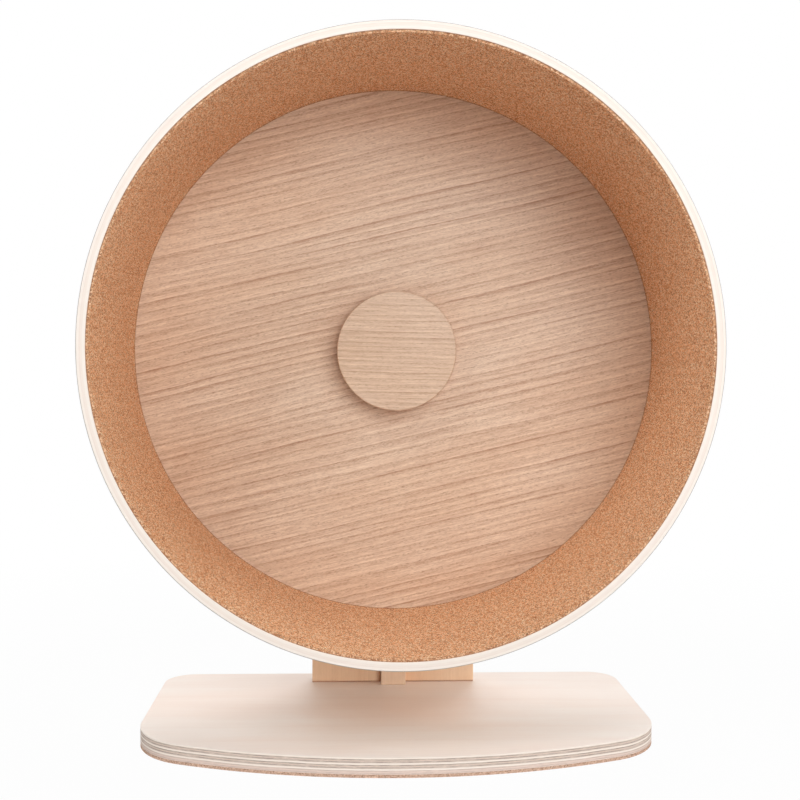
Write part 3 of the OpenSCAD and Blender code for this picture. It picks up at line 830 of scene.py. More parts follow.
# %% Model the track
GLUED_R = CORK_R - 0.1 * MM


def split_section(bm, low_y, high_y, cuts):
    """Cut the section's edges on its cork side, between two places along the axle."""
    chosen = []
    for edge in bm.edges:
        middle = (edge.verts[0].co + edge.verts[1].co) / 2
        if low_y < middle.y < high_y and middle.z - AXLE.z < GLUED_R:
            chosen.append(edge)
    bmesh.ops.subdivide_edges(bm, edges=chosen, cuts=cuts)


def crumble(place, size):
    """A noise from 0 to 1 that changes over a given size and is the same in each run."""
    return 0.5 + 0.5 * noise.noise(place / size)


def line_with_cork():
    """The lining: a wall with small unevenness and a crumbled front edge."""
    bm = bmesh.new()
    fine_depth = track_low.y + 3 * MM
    draw_section(bm, [
        (CORK_R, track_low.y, 0), (TRACK_R, track_low.y, 0), (TRACK_R, fine_depth, 0),
        (TRACK_R, track_high.y, 0), (CORK_R, track_high.y, 0),
    ])
    near = 0.01 * MM
    split_section(bm, fine_depth + near, track_high.y - near, 20)
    split_section(bm, track_low.y + near, fine_depth, 3)
    split_section(bm, track_low.y - near, track_low.y + near, 2)
    turn_about_axle(bm, 900)
    torn_reach, torn_back, torn_outward = mm(1.2, 0.6, 0.28)
    for point in bm.verts:
        outward = Vector((point.co.x, 0, point.co.z - AXLE.z))
        if outward.length > GLUED_R:
            continue
        outward.normalize()
        unevenness = 0.1 * MM * crumble(point.co, 9 * MM)
        from_front = point.co.y - track_low.y
        if from_front < torn_reach:
            torn = crumble(point.co, 0.9 * MM) ** 2 * (1 - from_front / torn_reach)
            point.co.y += torn_back * torn
            unevenness += torn_outward * torn
        point.co += outward * unevenness
    bm.normal_update()
    to_piece(
        bm, "cork_track", ["running_track"], [cork_lining, cork_cut],
        pick=lambda face: face.normal.y < -0.6,
    )


line_with_cork()

# %% [markdown]
# ## Cutting flat pieces from a sheet
# The plate, the base, the stand and the steel plate are all cut from sheet, so they share one
# way of working. Closed wires are drawn in the plane of the sheet, the outline and every hole.
# `triangle_fill` fills what lies between them, an extrusion gives the sheet its thickness, and
# a bevel on the edges where two faces meet at a right angle eases the arrises.

# %% Draw outlines and cut out sheets
def only(kind, parts):
    """The points, edges or faces in a mixed list."""
    return [part for part in parts if isinstance(part, kind)]


def draw_outline(bm, strokes, axis, spacing):
    """A closed wire. A stroke is a point, or an arc given as (centre, start, angle) about axis."""
    firsts, lasts = [], []
    for stroke in strokes:
        if isinstance(stroke, Vector):
            firsts.append(bm.verts.new(stroke))
            lasts.append(firsts[-1])
            continue
        centre, start, angle = stroke
        steps = max(3, math.ceil(abs(angle) * (start - centre).length / spacing))
        firsts.append(bm.verts.new(start))
        swept = bmesh.ops.spin(
            bm, geom=[firsts[-1]], cent=centre, axis=axis, dvec=(0, 0, 0), angle=angle,
            steps=steps, use_merge=False, use_duplicate=False,
        )
        lasts.append(only(bmesh.types.BMVert, swept["geom_last"])[0])
    for last, first in zip(lasts, firsts[1:] + firsts[:1]):
        if (last.co - first.co).length > SAME_PLACE:
            bm.edges.new((last, first))
    bmesh.ops.remove_doubles(bm, verts=bm.verts, dist=SAME_PLACE)


def draw_circle(bm, centre, radius, axis, spacing=1.0 * MM):
    """A closed circle about centre, square to axis."""
    turn = Vector((0, 0, 1)).rotation_difference(Vector(axis)).to_matrix().to_4x4()
    segments = max(24, math.ceil(math.tau * radius / spacing / 4) * 4)
    bmesh.ops.create_circle(
        bm, cap_ends=False, radius=radius, segments=segments,
        matrix=Matrix.Translation(centre) @ turn,
    )


def cut_out(bm, thickness, ease, segments=3):
    """Fill between the wires in bm, give the sheet its thickness and ease its arrises."""
    bmesh.ops.triangle_fill(bm, use_beauty=True, use_dissolve=False, edges=bm.edges[:])
    grown = bmesh.ops.extrude_face_region(bm, geom=bm.faces[:])["geom"]
    bmesh.ops.translate(bm, verts=only(bmesh.types.BMVert, grown), vec=thickness)
    bmesh.ops.recalc_face_normals(bm, faces=bm.faces)
    sharp = math.radians(60)
    arrises = [edge for edge in bm.edges if edge.calc_face_angle() > sharp]
    bmesh.ops.bevel(
        bm, geom=arrises, offset=ease, offset_type="OFFSET", segments=segments, profile=0.5,
        affect="EDGES", material=-1, loop_slide=False, clamp_overlap=True,
    )


trial = bmesh.new()
draw_circle(trial, (0, 0, 0), 5 * MM, (0, 0, 1))
cut_out(trial, (0, 0, 2 * MM), 0.2 * MM)
print("A trial disc 10 mm across has", len(trial.faces), "faces")
trial.free()

# %% [markdown]
# ## The veneered back plate
# A round plywood disc with oak on both faces. Its middle has a bore for the rear bearing and
# four screw holes, which the cap and the retaining plate hide once it is together. It sits
# inside the hoop, so its rear arris and the hoop's make a fine seam.

# %% Model the back plate
HUB_SCREW_RING = 17 * MM
HUB_SCREW_R = 1.5 * MM
HUB_SCREW_ANGLES = [QUARTER * (turn + 0.5) for turn in range(4)]
FIT_GAP = 0.05 * MM


def hub_screw_place(angle, y):
    """Where a hub screw's centre line passes y."""
    return AXLE + Vector((HUB_SCREW_RING * math.cos(angle), y, HUB_SCREW_RING * math.sin(angle)))


def face_with_oak():
    """The back plate, bored and drilled."""
    bearing_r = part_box("rear_bearing_outer_ring")[1].x
    front = AXLE + Vector((0, plate_low.y, 0))
    bm = bmesh.new()
    draw_circle(bm, front, plate_high.x, ALONG_AXLE, spacing=3 * MM)
    draw_circle(bm, front, bearing_r + FIT_GAP, ALONG_AXLE, spacing=1.5 * MM)
    for angle in HUB_SCREW_ANGLES:
        hole = hub_screw_place(angle, plate_low.y)
        draw_circle(bm, hole, HUB_SCREW_R + FIT_GAP, ALONG_AXLE)
    cut_out(bm, (0, plate_high.y - plate_low.y, 0), 0.2 * MM)
    to_piece(
        bm, "veneered_plate", ["back_plate"], [hoop_edge, oak_veneer],
        pick=faces_along_axle,
    )


face_with_oak()

# %% [markdown]
# ## The oak cap
# The round cap in the middle is turned from solid oak and hollowed behind, so that it pushes
# over the boss and clears the bolt's head. Its face is bare wood, and its front arris is eased
# by 0.7 mm and its rear one by 0.5 mm.

# %% Model the cap
def turn_cap():
    """The cap: a disc with a stepped hollow behind."""
    cap_low, cap_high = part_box("hub_cap")
    boss_low, boss_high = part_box("hub_boss")
    head_room, hollow_r = mm(1, 12)
    hollow_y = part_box("axle_bolt")[0].y - head_room
    socket_r, socket_y = boss_high.x + FIT_GAP, boss_low.y - FIT_GAP
    bm = bmesh.new()
    draw_section(bm, [
        (0, cap_low.y, 0), (cap_high.x, cap_low.y, 0.7 * MM), (cap_high.x, cap_high.y, 0.5 * MM),
        (socket_r, cap_high.y, 0.2 * MM), (socket_r, socket_y, 0), (hollow_r, socket_y, 0),
        (hollow_r, hollow_y, 0), (0, hollow_y, 0),
    ])
    turn_about_axle(bm, 160)
    to_piece(bm, "oak_hub_cap", ["hub_cap"], [oak_cap])


turn_cap()

# %% [markdown]
# ## The base board
# Seen from above the base has a straight back, straight sides that end in round corners, and a
# front that bows out by a few millimetres. The bow is a large circle, and each front corner is
# a small circle that touches it from inside. The angle at which the two touch follows from their
# radii, so the outline closes by itself at any size. It could be a box with bevelled corners,
# but a bevel gives a corner one radius and leaves the front straight.

# %% Draw the base's outline
BOW_R, FRONT_CORNER_R, REAR_CORNER_R = mm(285, 38, 16)


def base_outline(bm, height, spacing):
    """The base's outline at a height, drawn anticlockwise from the left end of the bow."""
    side, back, front = base_high.x, base_high.y, base_low.y
    corner_x = side - FRONT_CORNER_R
    touch = math.asin(corner_x / (BOW_R - FRONT_CORNER_R))
    bow_centre = Vector((0, front + BOW_R, height))
    corner_y = bow_centre.y - (BOW_R - FRONT_CORNER_R) * math.cos(touch)
    rear_x, rear_y = side - REAR_CORNER_R, back - REAR_CORNER_R

    def at(x, y):
        return Vector((x, y, height))

    def on_bow(angle):
        return bow_centre + BOW_R * Vector((math.sin(angle), -math.cos(angle), 0))

    strokes = [
        (bow_centre, on_bow(-touch), 2 * touch),
        (at(corner_x, corner_y), on_bow(touch), QUARTER - touch),
        (at(rear_x, rear_y), at(side, rear_y), QUARTER),
        (at(-rear_x, rear_y), at(-rear_x, back), QUARTER),
        (at(-corner_x, corner_y), at(-side, corner_y), QUARTER - touch),
    ]
    draw_outline(bm, strokes, (0, 0, 1), spacing)


trial = bmesh.new()
base_outline(trial, 0, 3 * MM)
round_edge = sum(edge.calc_length() for edge in trial.edges)
print("The base is", round(round_edge / MM), "mm round its edge")
trial.free()

# %% [markdown]
# ## The base and its screw holes
# The board is cut out like every sheet, with its three screw holes as wide as the screws' heads.
# A cut through the board where a head ends gives each hole a ring of points there, and from
# that ring up the hole is drawn in to the shank, which leaves a cone. A boolean could cut the
# same cone, but it leaves thin faces that shade badly.

# %% Model the base
BASE_SCREW_XS = mm(-32, 0, 32)
BASE_SCREW_R, BASE_SCREW_HEAD_R = mm(2, 4)
NEAR_SCREW = 6 * MM
BOARD_MID_Y = (board_low.y + board_high.y) / 2


def near_base_screw(point):
    """Whether a point belongs to a base screw's hole."""
    return any(math.hypot(point.x - x, point.y - BOARD_MID_Y) < NEAR_SCREW for x in BASE_SCREW_XS)


def countersink(bm, depth):
    """Draw the screw holes, cut as wide as the screws' heads, in to the shank above a depth."""
    bmesh.ops.bisect_plane(
        bm, geom=bm.verts[:] + bm.edges[:] + bm.faces[:], plane_co=(0, 0, base_low.z + depth),
        plane_no=(0, 0, 1),
    )
    for point in bm.verts:
        if point.co.z < base_low.z + depth / 2 or not near_base_screw(point.co):
            continue
        centre = min(BASE_SCREW_XS, key=lambda x: abs(x - point.co.x))
        offset = Vector((point.co.x - centre, point.co.y - BOARD_MID_Y))
        offset *= (BASE_SCREW_R + FIT_GAP) / offset.length
        point.co.x, point.co.y = centre + offset.x, BOARD_MID_Y + offset.y


def cut_base():
    """The base board with its eased outline and three countersunk holes."""
    bm = bmesh.new()
    base_outline(bm, base_low.z, 3 * MM)
    for x in BASE_SCREW_XS:
        draw_circle(bm, (x, BOARD_MID_Y, base_low.z), BASE_SCREW_HEAD_R + FIT_GAP, (0, 0, 1))
    cut_out(bm, (0, 0, base_high.z - base_low.z), 0.35 * MM)
    countersink(bm, BASE_SCREW_HEAD_R - BASE_SCREW_R)
    bm.normal_update()
    to_piece(
        bm, "base_panel", ["base_board"], [base_edge, base_face],
        pick=lambda face: abs(face.normal.z) > 0.7,
    )


cut_base()

# %% [markdown]
# ## The cork foot
# The thin cork sheet under the base has the same outline, but a knife can't cut cork cleanly, so
# its edge is rough. The outline is drawn with a point every 0.8 mm, and after the sheet has its
# thickness the points on its rim are pushed in by a fixed noise. A rough edge could come from a
# bump in the material, but the foot's outline would still be smooth against the floor. The
# holes let a screwdriver reach the three screws.

# %% Model the cork foot
def halve_long_edges(bm, longest):
    """Halve edges until none is longer than that."""
    long_edges = bm.edges[:]
    while long_edges:
        long_edges = [edge for edge in bm.edges if edge.calc_length() > longest]
        bmesh.ops.subdivide_edges(bm, edges=long_edges, cuts=1)


def lay_cork_foot():
    """The sheet of cork under the base, with a crumbled rim."""
    pad_low, pad_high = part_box("base_cork_pad")
    hole_r = BASE_SCREW_HEAD_R + 1 * MM
    bm = bmesh.new()
    base_outline(bm, pad_low.z, 0.8 * MM)
    halve_long_edges(bm, 1.2 * MM)
    for x in BASE_SCREW_XS:
        draw_circle(bm, (x, BOARD_MID_Y, pad_low.z), hole_r, (0, 0, 1))
    cut_out(bm, (0, 0, pad_high.z - pad_low.z), 0.2 * MM, segments=2)
    upright = 0.9 * MM
    rim = [edge for edge in bm.edges if abs(edge.verts[0].co.z - edge.verts[1].co.z) > upright]
    bmesh.ops.subdivide_edges(bm, edges=rim, cuts=1)
    deepest = 0.55 * MM
    for point in bm.verts:
        if near_base_screw(point.co):
            continue
        on_wall = any(abs(face.normal.z) < 0.5 for face in point.link_faces)
        if on_wall:
            inward = Vector((-point.co.x, -point.co.y, 0)).normalized()
            point.co += inward * deepest * crumble(point.co, 1.1 * MM) ** 1.5
    bm.normal_update()
    to_piece(bm, "cork_foot_sheet", ["base_cork_pad"], [cork_foot])


lay_cork_foot()

# %% [markdown]
# ## The stand
# Two boards cross in a lap joint. The wide one stands behind the wheel, with a round top about
# the axle, a hole for the tee nut, and a slot that is open below. The narrow rib stands on edge,
# with a rounded nose at the top, a back that leans in, and a slot that is open above.

# %% Model the stand
LAP_GAP = 0.1 * MM
LAP_Z = (base_high.z + rib_high.z) / 2
TEE_BARREL_R = 3.9 * MM


def cut_stand_board():
    """The wide board behind the wheel."""
    front, foot_z, half = board_low.y, board_low.z, board_high.x
    slot = RIB_HALF + LAP_GAP
    corners = [
        (-half, foot_z), (-slot, foot_z), (-slot, LAP_Z), (slot, LAP_Z), (slot, foot_z),
        (half, foot_z),
    ]
    strokes = [Vector((x, front, z)) for x, z in corners]
    middle = AXLE + Vector((0, front, 0))
    strokes.append((middle, middle + Vector((half, 0, 0)), -math.pi))
    bm = bmesh.new()
    draw_outline(bm, strokes, ALONG_AXLE, 3 * MM)
    draw_circle(bm, middle, TEE_BARREL_R + FIT_GAP, ALONG_AXLE)
    cut_out(bm, (0, board_high.y - board_low.y, 0), 0.4 * MM)
    to_piece(
        bm, "stand_board", ["upright_board"], [stand_edge, board_face],
        pick=faces_along_axle,
    )


def cut_stand_rib():
    """The rib that crosses the board."""
    nose_r, heel_z, rear_leg = mm(5, 35.5, 3)
    nose = Vector((-RIB_HALF, rib_low.y + nose_r, rib_high.z - nose_r))
    slot_front, slot_back = board_low.y - LAP_GAP, board_high.y + LAP_GAP
    strokes = [
        Vector((-RIB_HALF, rib_low.y, rib_low.z)),
        (nose, nose - Vector((0, nose_r, 0)), -QUARTER),
    ]
    corners = [
        (slot_front, rib_high.z), (slot_front, LAP_Z), (slot_back, LAP_Z), (slot_back, rib_high.z),
        (board_high.y + rear_leg, rib_high.z), (rib_high.y, heel_z), (rib_high.y, rib_low.z),
    ]
    strokes += [Vector((-RIB_HALF, y, z)) for y, z in corners]
    bm = bmesh.new()
    draw_outline(bm, strokes, (1, 0, 0), 3 * MM)
    cut_out(bm, (2 * RIB_HALF, 0, 0), 0.45 * MM)
    to_piece(bm, "stand_rib", ["upright_rib"], [rib_face])


cut_stand_board()
cut_stand_rib()

# %% [markdown]
# ## Heads and threads
# A screw is two simple shells pushed into each other. The head starts as a ring of face between
# a circle and the outline of its recess. The recess is that outline pushed in and closed, and
# the head is the circle grown ring by ring along its side. The thread is one pitch of its saw
# profile, swept round the shank while it climbs by a pitch in each turn, so the turns join by
# themselves, and a cut at each end closes it.

# %% Build a screw's head and thread
def push_edges(bm, edges, share, height):
    """Extrude a closed loop of edges, scale it by share and lift it to a height."""
    grown = bmesh.ops.extrude_edge_only(bm, edges=edges)["geom"]
    for point in only(bmesh.types.BMVert, grown):
        point.co.x *= share
        point.co.y *= share
        point.co.z = height
    return only(bmesh.types.BMEdge, grown)


def build_head(recess, recess_depth, rings):
    """A head whose face is at z = 0. recess is its outline; rings are (radius, height) pairs."""
    bm = bmesh.new()
    draw_outline(bm, [Vector((x, y, 0)) for x, y in recess], (0, 0, 1), 1.0)
    recess_edges = bm.edges[:]
    radius = rings[0][0]
    bmesh.ops.create_circle(bm, cap_ends=False, radius=radius, segments=32)
    outer = [edge for edge in bm.edges if edge not in recess_edges]
    bmesh.ops.triangle_fill(bm, use_beauty=True, use_dissolve=False, edges=bm.edges[:])
    floor_edges = push_edges(bm, recess_edges, 0.8, recess_depth)
    bmesh.ops.contextual_create(bm, geom=floor_edges)
    for next_radius, height in rings[1:]:
        outer = push_edges(bm, outer, next_radius / radius, height)
        radius = next_radius
    bmesh.ops.contextual_create(bm, geom=outer)
    bmesh.ops.recalc_face_normals(bm, faces=bm.faces)
    return bm


def build_thread(core_r, crest_r, pitch, start, end, point_length=0.0):
    """A thread along Z from start to end, drawn in to a point over its last stretch."""
    bm = bmesh.new()
    saw_profile = [(core_r, 0.0), (core_r, 0.3), (crest_r, 0.55), (crest_r, 0.7), (core_r, 1.0)]
    run_in = 1.13
    wire = [
        bm.verts.new((radius, 0, start + (part - run_in) * pitch)) for radius, part in saw_profile
    ]
    edges = [bm.edges.new(pair) for pair in zip(wire, wire[1:])]
    turns = math.ceil((end - start) / pitch) + 2
    steps_per_turn = 20
    bmesh.ops.spin(
        bm, geom=wire + edges, cent=(0, 0, 0), axis=(0, 0, 1), dvec=(0, 0, pitch / steps_per_turn),
        angle=math.tau * turns, steps=turns * steps_per_turn, use_merge=False, use_duplicate=False,
    )
    bmesh.ops.remove_doubles(bm, verts=bm.verts, dist=5 * SAME_PLACE)
    for height, keep_below in ((start, False), (end, True)):
        cut = bmesh.ops.bisect_plane(
            bm, geom=bm.verts[:] + bm.edges[:] + bm.faces[:], plane_co=(0, 0, height),
            plane_no=(0, 0, 1), clear_outer=keep_below, clear_inner=not keep_below,
        )
        bmesh.ops.contextual_create(bm, geom=only(bmesh.types.BMEdge, cut["geom_cut"]))
    for vertex in bm.verts:
        left = end - vertex.co.z
        if point_length and left < point_length:
            share = 0.15 + 0.85 * left / point_length
            vertex.co.x *= share
            vertex.co.y *= share
    bmesh.ops.recalc_face_normals(bm, faces=bm.faces)
    return bm


def place_parts(bm, parts, matrix):
    """Copy finished parts into bm, moved by matrix."""
    for part in parts:
        mesh = bpy.data.meshes.new("part")
        part.to_mesh(mesh)
        mesh.transform(matrix)
        bm.from_mesh(mesh)
        bpy.data.meshes.remove(mesh)


trial = build_thread(*mm(2, 2.5, 1, 0, 6))
print("Six turns of a trial thread have", len(trial.faces), "faces")
trial.free()

# %% [markdown]
# ## Screws and the axle bolt
# The base's screws are countersunk, so their heads are cones. The hub's screws have low domed
# heads, and the bolt has a wider dome with a hexagon socket. A cross recess is drawn once, as the
# twelve corners of a plus sign, from its reach and the width of its arms.

# %% Model the screws and the bolt
def cross(reach, half_width):
    """The twelve corners of a plus sign."""
    arm = [(reach, -half_width), (reach, half_width), (half_width, half_width)]
    turns = [(1, 0), (0, 1), (-1, 0), (0, -1)]
    return [(x * cos - y * sin, x * sin + y * cos) for cos, sin in turns for x, y in arm]


def hexagon(across_flats):
    """The six corners of a socket."""
    radius = across_flats / 2 / math.cos(math.radians(30))
    angles = [math.radians(60 * corner) for corner in range(6)]
    return [(radius * math.cos(angle), radius * math.sin(angle)) for angle in angles]


def dome(flat_r, head_r, height, steps=5):
    """Rings from a head's flat down its dome to its rim."""
    angles = [QUARTER * step / steps for step in range(steps + 1)]
    grown = head_r - flat_r
    return [(flat_r + grown * math.sin(angle), height * (1 - math.cos(angle))) for angle in angles]


def drive_base_screws():
    """Three countersunk wood screws that point up."""
    screw_low, screw_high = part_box("base_screws")
    length = screw_high.z - screw_low.z
    head_t = BASE_SCREW_HEAD_R - BASE_SCREW_R
    rings = [
        (BASE_SCREW_HEAD_R - 0.15 * MM, 0), (BASE_SCREW_HEAD_R, 0.15 * MM),
        (BASE_SCREW_HEAD_R, 0.3 * MM), (BASE_SCREW_R - 0.4 * MM, head_t + 0.5 * MM),
        (BASE_SCREW_R - 0.5 * MM, length / 2),
    ]
    head = build_head(cross(*mm(2.1, 0.45)), recess_depth=1.4 * MM, rings=rings)
    thread = build_thread(
        BASE_SCREW_R - 0.7 * MM, BASE_SCREW_R, pitch=1.8 * MM, start=head_t + 2 * MM, end=length,
        point_length=5 * MM,
    )
    bm = bmesh.new()
    for x in BASE_SCREW_XS:
        place_parts(bm, [head, thread], Matrix.Translation((x, BOARD_MID_Y, screw_low.z)))
    to_piece(bm, "base_wood_screws", ["base_screws"], [zinc_steel])


def drive_hub_screws():
    """Four pan-head screws that go in from behind."""
    screw_low, screw_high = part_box("hub_screws")
    flat_r, head_r, head_t, shank_r, shank_end, core_r = mm(1.6, 2.8, 1.8, 1.1, 6, 1.05)
    rings = dome(flat_r, head_r, head_t - 0.4 * MM)
    rings += [(head_r, head_t), (shank_r, head_t), (shank_r, shank_end)]
    head = build_head(cross(*mm(1.5, 0.4)), recess_depth=1.1 * MM, rings=rings)
    thread = build_thread(
        core_r, HUB_SCREW_R, pitch=1.25 * MM, start=head_t + 0.6 * MM,
        end=screw_high.y - screw_low.y, point_length=3 * MM,
    )
    into_boss = Matrix.Rotation(QUARTER, 4, "X")
    bm = bmesh.new()
    for angle in HUB_SCREW_ANGLES:
        place = Matrix.Translation(hub_screw_place(angle, screw_high.y))
        place_parts(bm, [head, thread], place @ into_boss)
    to_piece(bm, "hub_pan_screws", ["hub_screws"], [zinc_steel])


def fit_axle_bolt():
    """The button-head bolt that carries the bearings."""
    bolt_low, bolt_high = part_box("axle_bolt")
    flat_r, head_r, head_t, shank_r, plain_end, thread_core_r = mm(3.25, 5.25, 3.3, 2.95, 22, 2.45)
    rings = dome(flat_r, head_r, head_t - 0.8 * MM) + [
        (head_r, head_t), (shank_r, head_t), (shank_r, plain_end), (2.4 * MM, plain_end + 1 * MM),
    ]
    head = build_head(hexagon(4 * MM), recess_depth=2 * MM, rings=rings)
    length = bolt_high.y - bolt_low.y
    thread = build_thread(thread_core_r, shank_r, pitch=1.0 * MM, start=plain_end, end=length)
    backwards = Matrix.Rotation(-QUARTER, 4, "X")
    place = Matrix.Translation(AXLE + Vector((0, bolt_low.y, 0)))
    bm = bmesh.new()
    place_parts(bm, [head, thread], place @ backwards)
    to_piece(bm, "button_head_bolt", ["axle_bolt"], [zinc_steel])


drive_base_screws()
drive_hub_screws()
fit_axle_bolt()

# %% [markdown]
# ## Sleeve, retaining plate and tee nut
# The flanged sleeve keeps the spinning plate clear of the stand. The retaining plate is a disc
# of sheet steel. The tee nut shows from behind: its flange is stamped, with four notches where
# its prongs were folded in, and a small cone leads into its bore. The flange is a circle with
# four notches, drawn as four arcs with straight steps between them.

# %% Model the sleeve, the plate and the tee nut
def turn_sleeve():
    """The flanged sleeve behind the rear bearing."""
    sleeve_low, sleeve_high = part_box("axle_spacer")
    bore_r, sleeve_r, flange_t = mm(3.05, 4.5, 1.5)
    flange_y = sleeve_high.y - flange_t
    bm = bmesh.new()
    draw_section(bm, [
        (bore_r, sleeve_low.y, 0.15 * MM), (sleeve_r, sleeve_low.y, 0.2 * MM),
        (sleeve_r, flange_y, 0.3 * MM), (sleeve_high.x, flange_y, 0.3 * MM),
        (sleeve_high.x, sleeve_high.y, 0.15 * MM), (bore_r, sleeve_high.y, 0.15 * MM),
    ])
    turn_about_axle(bm, 72)
    to_piece(bm, "flanged_sleeve", ["axle_spacer"], [zinc_steel])


def stamp_retaining_plate():
    """The steel disc that keeps the rear bearing in."""
    disc_low, disc_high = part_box("hub_retaining_plate")
    front = AXLE + Vector((0, disc_low.y, 0))
    bore_r = 8.5 * MM
    bm = bmesh.new()
    for radius in (disc_high.x, bore_r):
        draw_circle(bm, front, radius, ALONG_AXLE)
    for angle in HUB_SCREW_ANGLES:
        hole = hub_screw_place(angle, disc_low.y)
        draw_circle(bm, hole, HUB_SCREW_R + FIT_GAP, ALONG_AXLE, spacing=0.4 * MM)
    cut_out(bm, (0, disc_high.y - disc_low.y, 0), 0.15 * MM, segments=2)
    to_piece(bm, "retaining_disc", ["hub_retaining_plate"], [zinc_steel])


def press_tee_nut():
    """The tee nut: notched flange, barrel and four prongs."""
    nut_low, nut_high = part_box("axle_tee_nut")
    flange_r, flange_y = nut_high.x, board_high.y
    bore_r, prong_t, prong_half_width, prong_length, sunk = mm(3, 1.2, 1.2, 4, 0.3)
    notch_r = flange_r - prong_t / 2
    half_notch = math.asin(prong_half_width / flange_r)
    middle = AXLE + Vector((0, flange_y, 0))

    def at(angle, radius):
        return middle + Vector((radius * math.cos(angle), 0, radius * math.sin(angle)))

    strokes = []
    for quarter in range(4):
        notch = QUARTER * quarter
        strokes += [at(notch - half_notch, notch_r), at(notch + half_notch, notch_r)]
        strokes.append((middle, at(notch + half_notch, flange_r), 2 * half_notch - QUARTER))
    bm = bmesh.new()
    draw_outline(bm, strokes, ALONG_AXLE, 1 * MM)
    draw_circle(bm, middle, bore_r + 0.4 * MM, ALONG_AXLE)
    cut_out(bm, (0, nut_high.y - flange_y, 0), 0.2 * MM, segments=2)

    barrel = bmesh.new()
    draw_section(barrel, [
        (bore_r, nut_low.y, 0.1 * MM), (TEE_BARREL_R, nut_low.y, 0.2 * MM),
        (TEE_BARREL_R, flange_y + sunk, 0), (bore_r + 0.5 * MM, nut_high.y - sunk, 0),
        (bore_r, nut_high.y - 0.8 * MM, 0),
    ])
    turn_about_axle(barrel, 48)
    place_parts(bm, [barrel], Matrix.Identity(4))

    prong = bmesh.new()
    bmesh.ops.create_cube(prong, size=1)
    prong_size = (prong_t, prong_length + 2 * sunk, 2 * prong_half_width)
    bmesh.ops.scale(prong, verts=prong.verts, vec=prong_size)
    tip_share = 0.3
    for point in prong.verts:
        if point.co.y < 0:
            point.co.z *= tip_share
    prong_place = (flange_r - prong_t, flange_y + sunk - prong_length / 2, 0)
    bmesh.ops.translate(prong, verts=prong.verts, vec=prong_place)
    for quarter in range(4):
        turn = Matrix.Rotation(QUARTER * quarter, 4, "Y")
        place_parts(bm, [prong], Matrix.Translation(AXLE) @ turn)
    to_piece(bm, "pressed_tee_nut", ["axle_tee_nut"], [zinc_steel])


turn_sleeve()
stamp_retaining_plate()
press_tee_nut()

# %% [markdown]
# ## What keeps its CAD shape
# The boss, the washer, the shim and the bearings are plain turned parts with the right shape
# already, and they are hidden inside the hub. They stay as they are and only get their finish.

# %% Give the carried-over nodes their finishes
FINISH_OF_NODE = {"hub_boss": beech, "axle_washer": zinc_steel, "inner_ring_shim": ground_steel}
for end in ("front", "rear"):
    FINISH_OF_NODE[end + "_bearing_inner_ring"] = ground_steel
    FINISH_OF_NODE[end + "_bearing_outer_ring"] = ground_steel
    FINISH_OF_NODE[end + "_bearing_balls"] = ground_steel
    FINISH_OF_NODE[end + "_bearing_shields"] = shield_steel
    FINISH_OF_NODE[end + "_bearing_cage"] = nylon
for name, finish in FINISH_OF_NODE.items():
    node = frame["nodes"][name]
    if not node.material_slots:
        node.data.materials.append(finish)
    for material_slot in node.material_slots:
        material_slot.material = finish
print(len(FINISH_OF_NODE), "CAD nodes keep their shape")

# %% [markdown]
# ## Floor and room
# The wheel stands on white in a white room. For the light that bounces off it the floor is a mid
# grey, which keeps the undersides as dark as in the photo, and it takes the object's shadow. To
# the camera it shows mostly its own white, a touch less near the base, where the shadow stays
# faintly visible, and all of it further out, so that it ends in the same white as the
# background. The world does the same: it lights the object at a fifth of full strength, and is
# full white only where the camera or a reflection sees it.

# %% Make the floor and the world
def seen_directly(tree):
    """A mask that is 1 for camera, mirror and glass rays, and 0 for light on its way."""
    rays = add(tree, "LightPath", {}).outputs
    seen = calc(tree, "MAXIMUM", rays["Is Camera Ray"], rays["Is Glossy Ray"])
    return calc(tree, "MAXIMUM", seen, rays["Is Transmission Ray"])


def mix_shaders(tree, share, first, second, output):
    """Connect two shaders, mixed by a share, to a tree's output."""
    mixed = add(tree, "MixShader", {0: share, 1: first.outputs[0], 2: second.outputs[0]})
    tree.links.new(mixed.outputs[0], tree.nodes[output].inputs["Surface"])


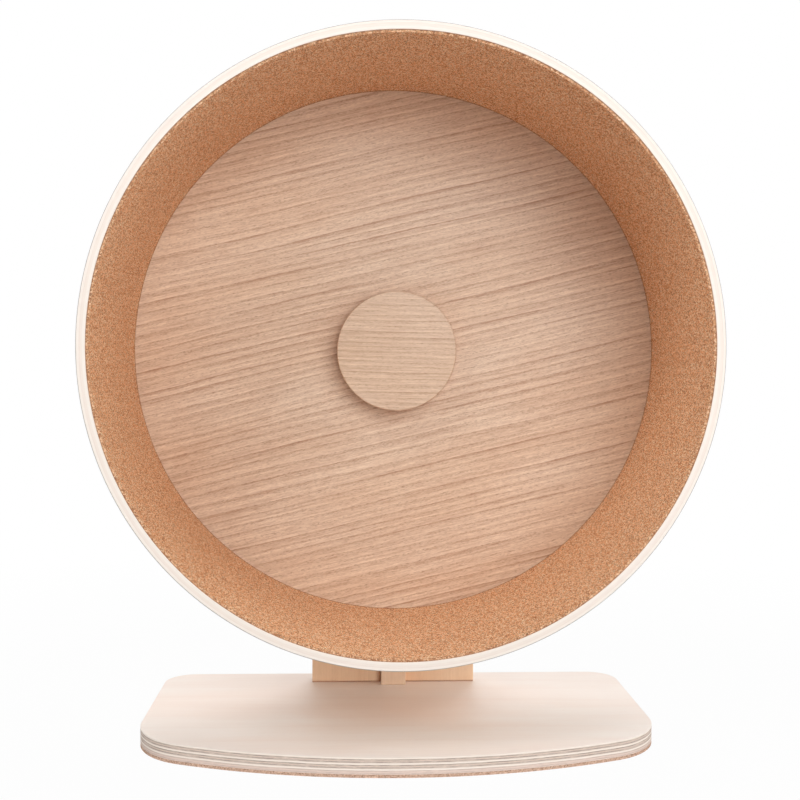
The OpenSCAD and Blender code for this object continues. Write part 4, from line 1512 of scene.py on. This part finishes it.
def lay_floor(size=8.0, own_white=0.97):
    """A white floor that keeps a faint shadow near the base and is plain white further out."""
    bm = bmesh.new()
    bmesh.ops.create_grid(bm, x_segments=1, y_segments=1, size=size / 2)
    mesh = bpy.data.meshes.new("white_floor")
    bm.to_mesh(mesh)
    bm.free()
    floor = bpy.data.objects.new("white_floor", mesh)
    bpy.context.scene.collection.objects.link(floor)
    material, tree, shader = new_finish("floor_white", 0.9)
    shader.inputs["Base Color"].default_value = (0.55, 0.55, 0.55, 1)
    glow = add(tree, "Emission", {"Color": (1, 1, 1, 1), "Strength": 1.0})
    near, far = 0.25, 0.6
    further_out = stretch(tree, how_far(tree, object_vector(tree)), near, far)
    whiteness = calc(tree, "MULTIPLY_ADD", further_out, 1 - own_white, own_white)
    share = calc(tree, "MULTIPLY", seen_directly(tree), whiteness)
    mix_shaders(tree, share, shader, glow, "Material Output")
    mesh.materials.append(material)


def light_room(strength=0.2):
    """A white world that lights at the given strength and looks plain white."""
    world = bpy.data.worlds.new("white_room")
    world.use_nodes = True
    tree = world.node_tree
    lighting = tree.nodes["Background"]
    lighting.inputs["Color"].default_value = (1, 1, 1, 1)
    lighting.inputs["Strength"].default_value = strength
    seen = add(tree, "Background", {"Color": (1, 1, 1, 1), "Strength": 1.0})
    mix_shaders(tree, seen_directly(tree), lighting, seen, "World Output")
    bpy.context.scene.world = world


lay_floor()
light_room()
bpy.context.scene.view_settings.view_transform = "Standard"
print("View transform:", bpy.context.scene.view_settings.view_transform)

# %% [markdown]
# ## The lamps
# The photo's light is soft and comes from several sides. It was worked out by rendering the
# wheel under one lamp at a time, from eighteen places, and solving for the powers that together
# give the photo's brightness on the plate, the cap, the cork, the hoop and the base. Six
# softboxes come close. The two in front light the oak, throw the cap's soft shadow to its left
# and leave the sheen to its right. One on the right and one high on the left light the two
# sides of the lining and the hoop. The two behind light the base and the foot of the stand.

# %% Place the lamps
def softbox(name, direction, elevation, power, size=0.9, distance=1.6):
    """A square area lamp aimed at the axle. Direction is in degrees to the right of the front."""
    to_right, upwards = math.radians(direction), math.radians(elevation)
    flat = math.cos(upwards)
    away = Vector((math.sin(to_right) * flat, -math.cos(to_right) * flat, math.sin(upwards)))
    lamp = bpy.data.lights.new(name, "AREA")
    lamp.size = size
    lamp.energy = power
    stand = bpy.data.objects.new(name, lamp)
    stand.location = AXLE + distance * away
    stand.rotation_euler = (-away).to_track_quat("-Z", "Y").to_euler()
    bpy.context.scene.collection.objects.link(stand)
    print(name, "stands at", [round(c, 2) for c in stand.location])


softbox("front_softbox", 15, 14, 10.3)
softbox("front_right_softbox", 30, 18, 3.5)
softbox("right_softbox", 85, 26, 7.5)
softbox("high_left_softbox", -50, 45, 11.8)
softbox("low_rear_softbox", 165, 36, 4.0)
softbox("high_rear_softbox", 180, 60, 8.5)
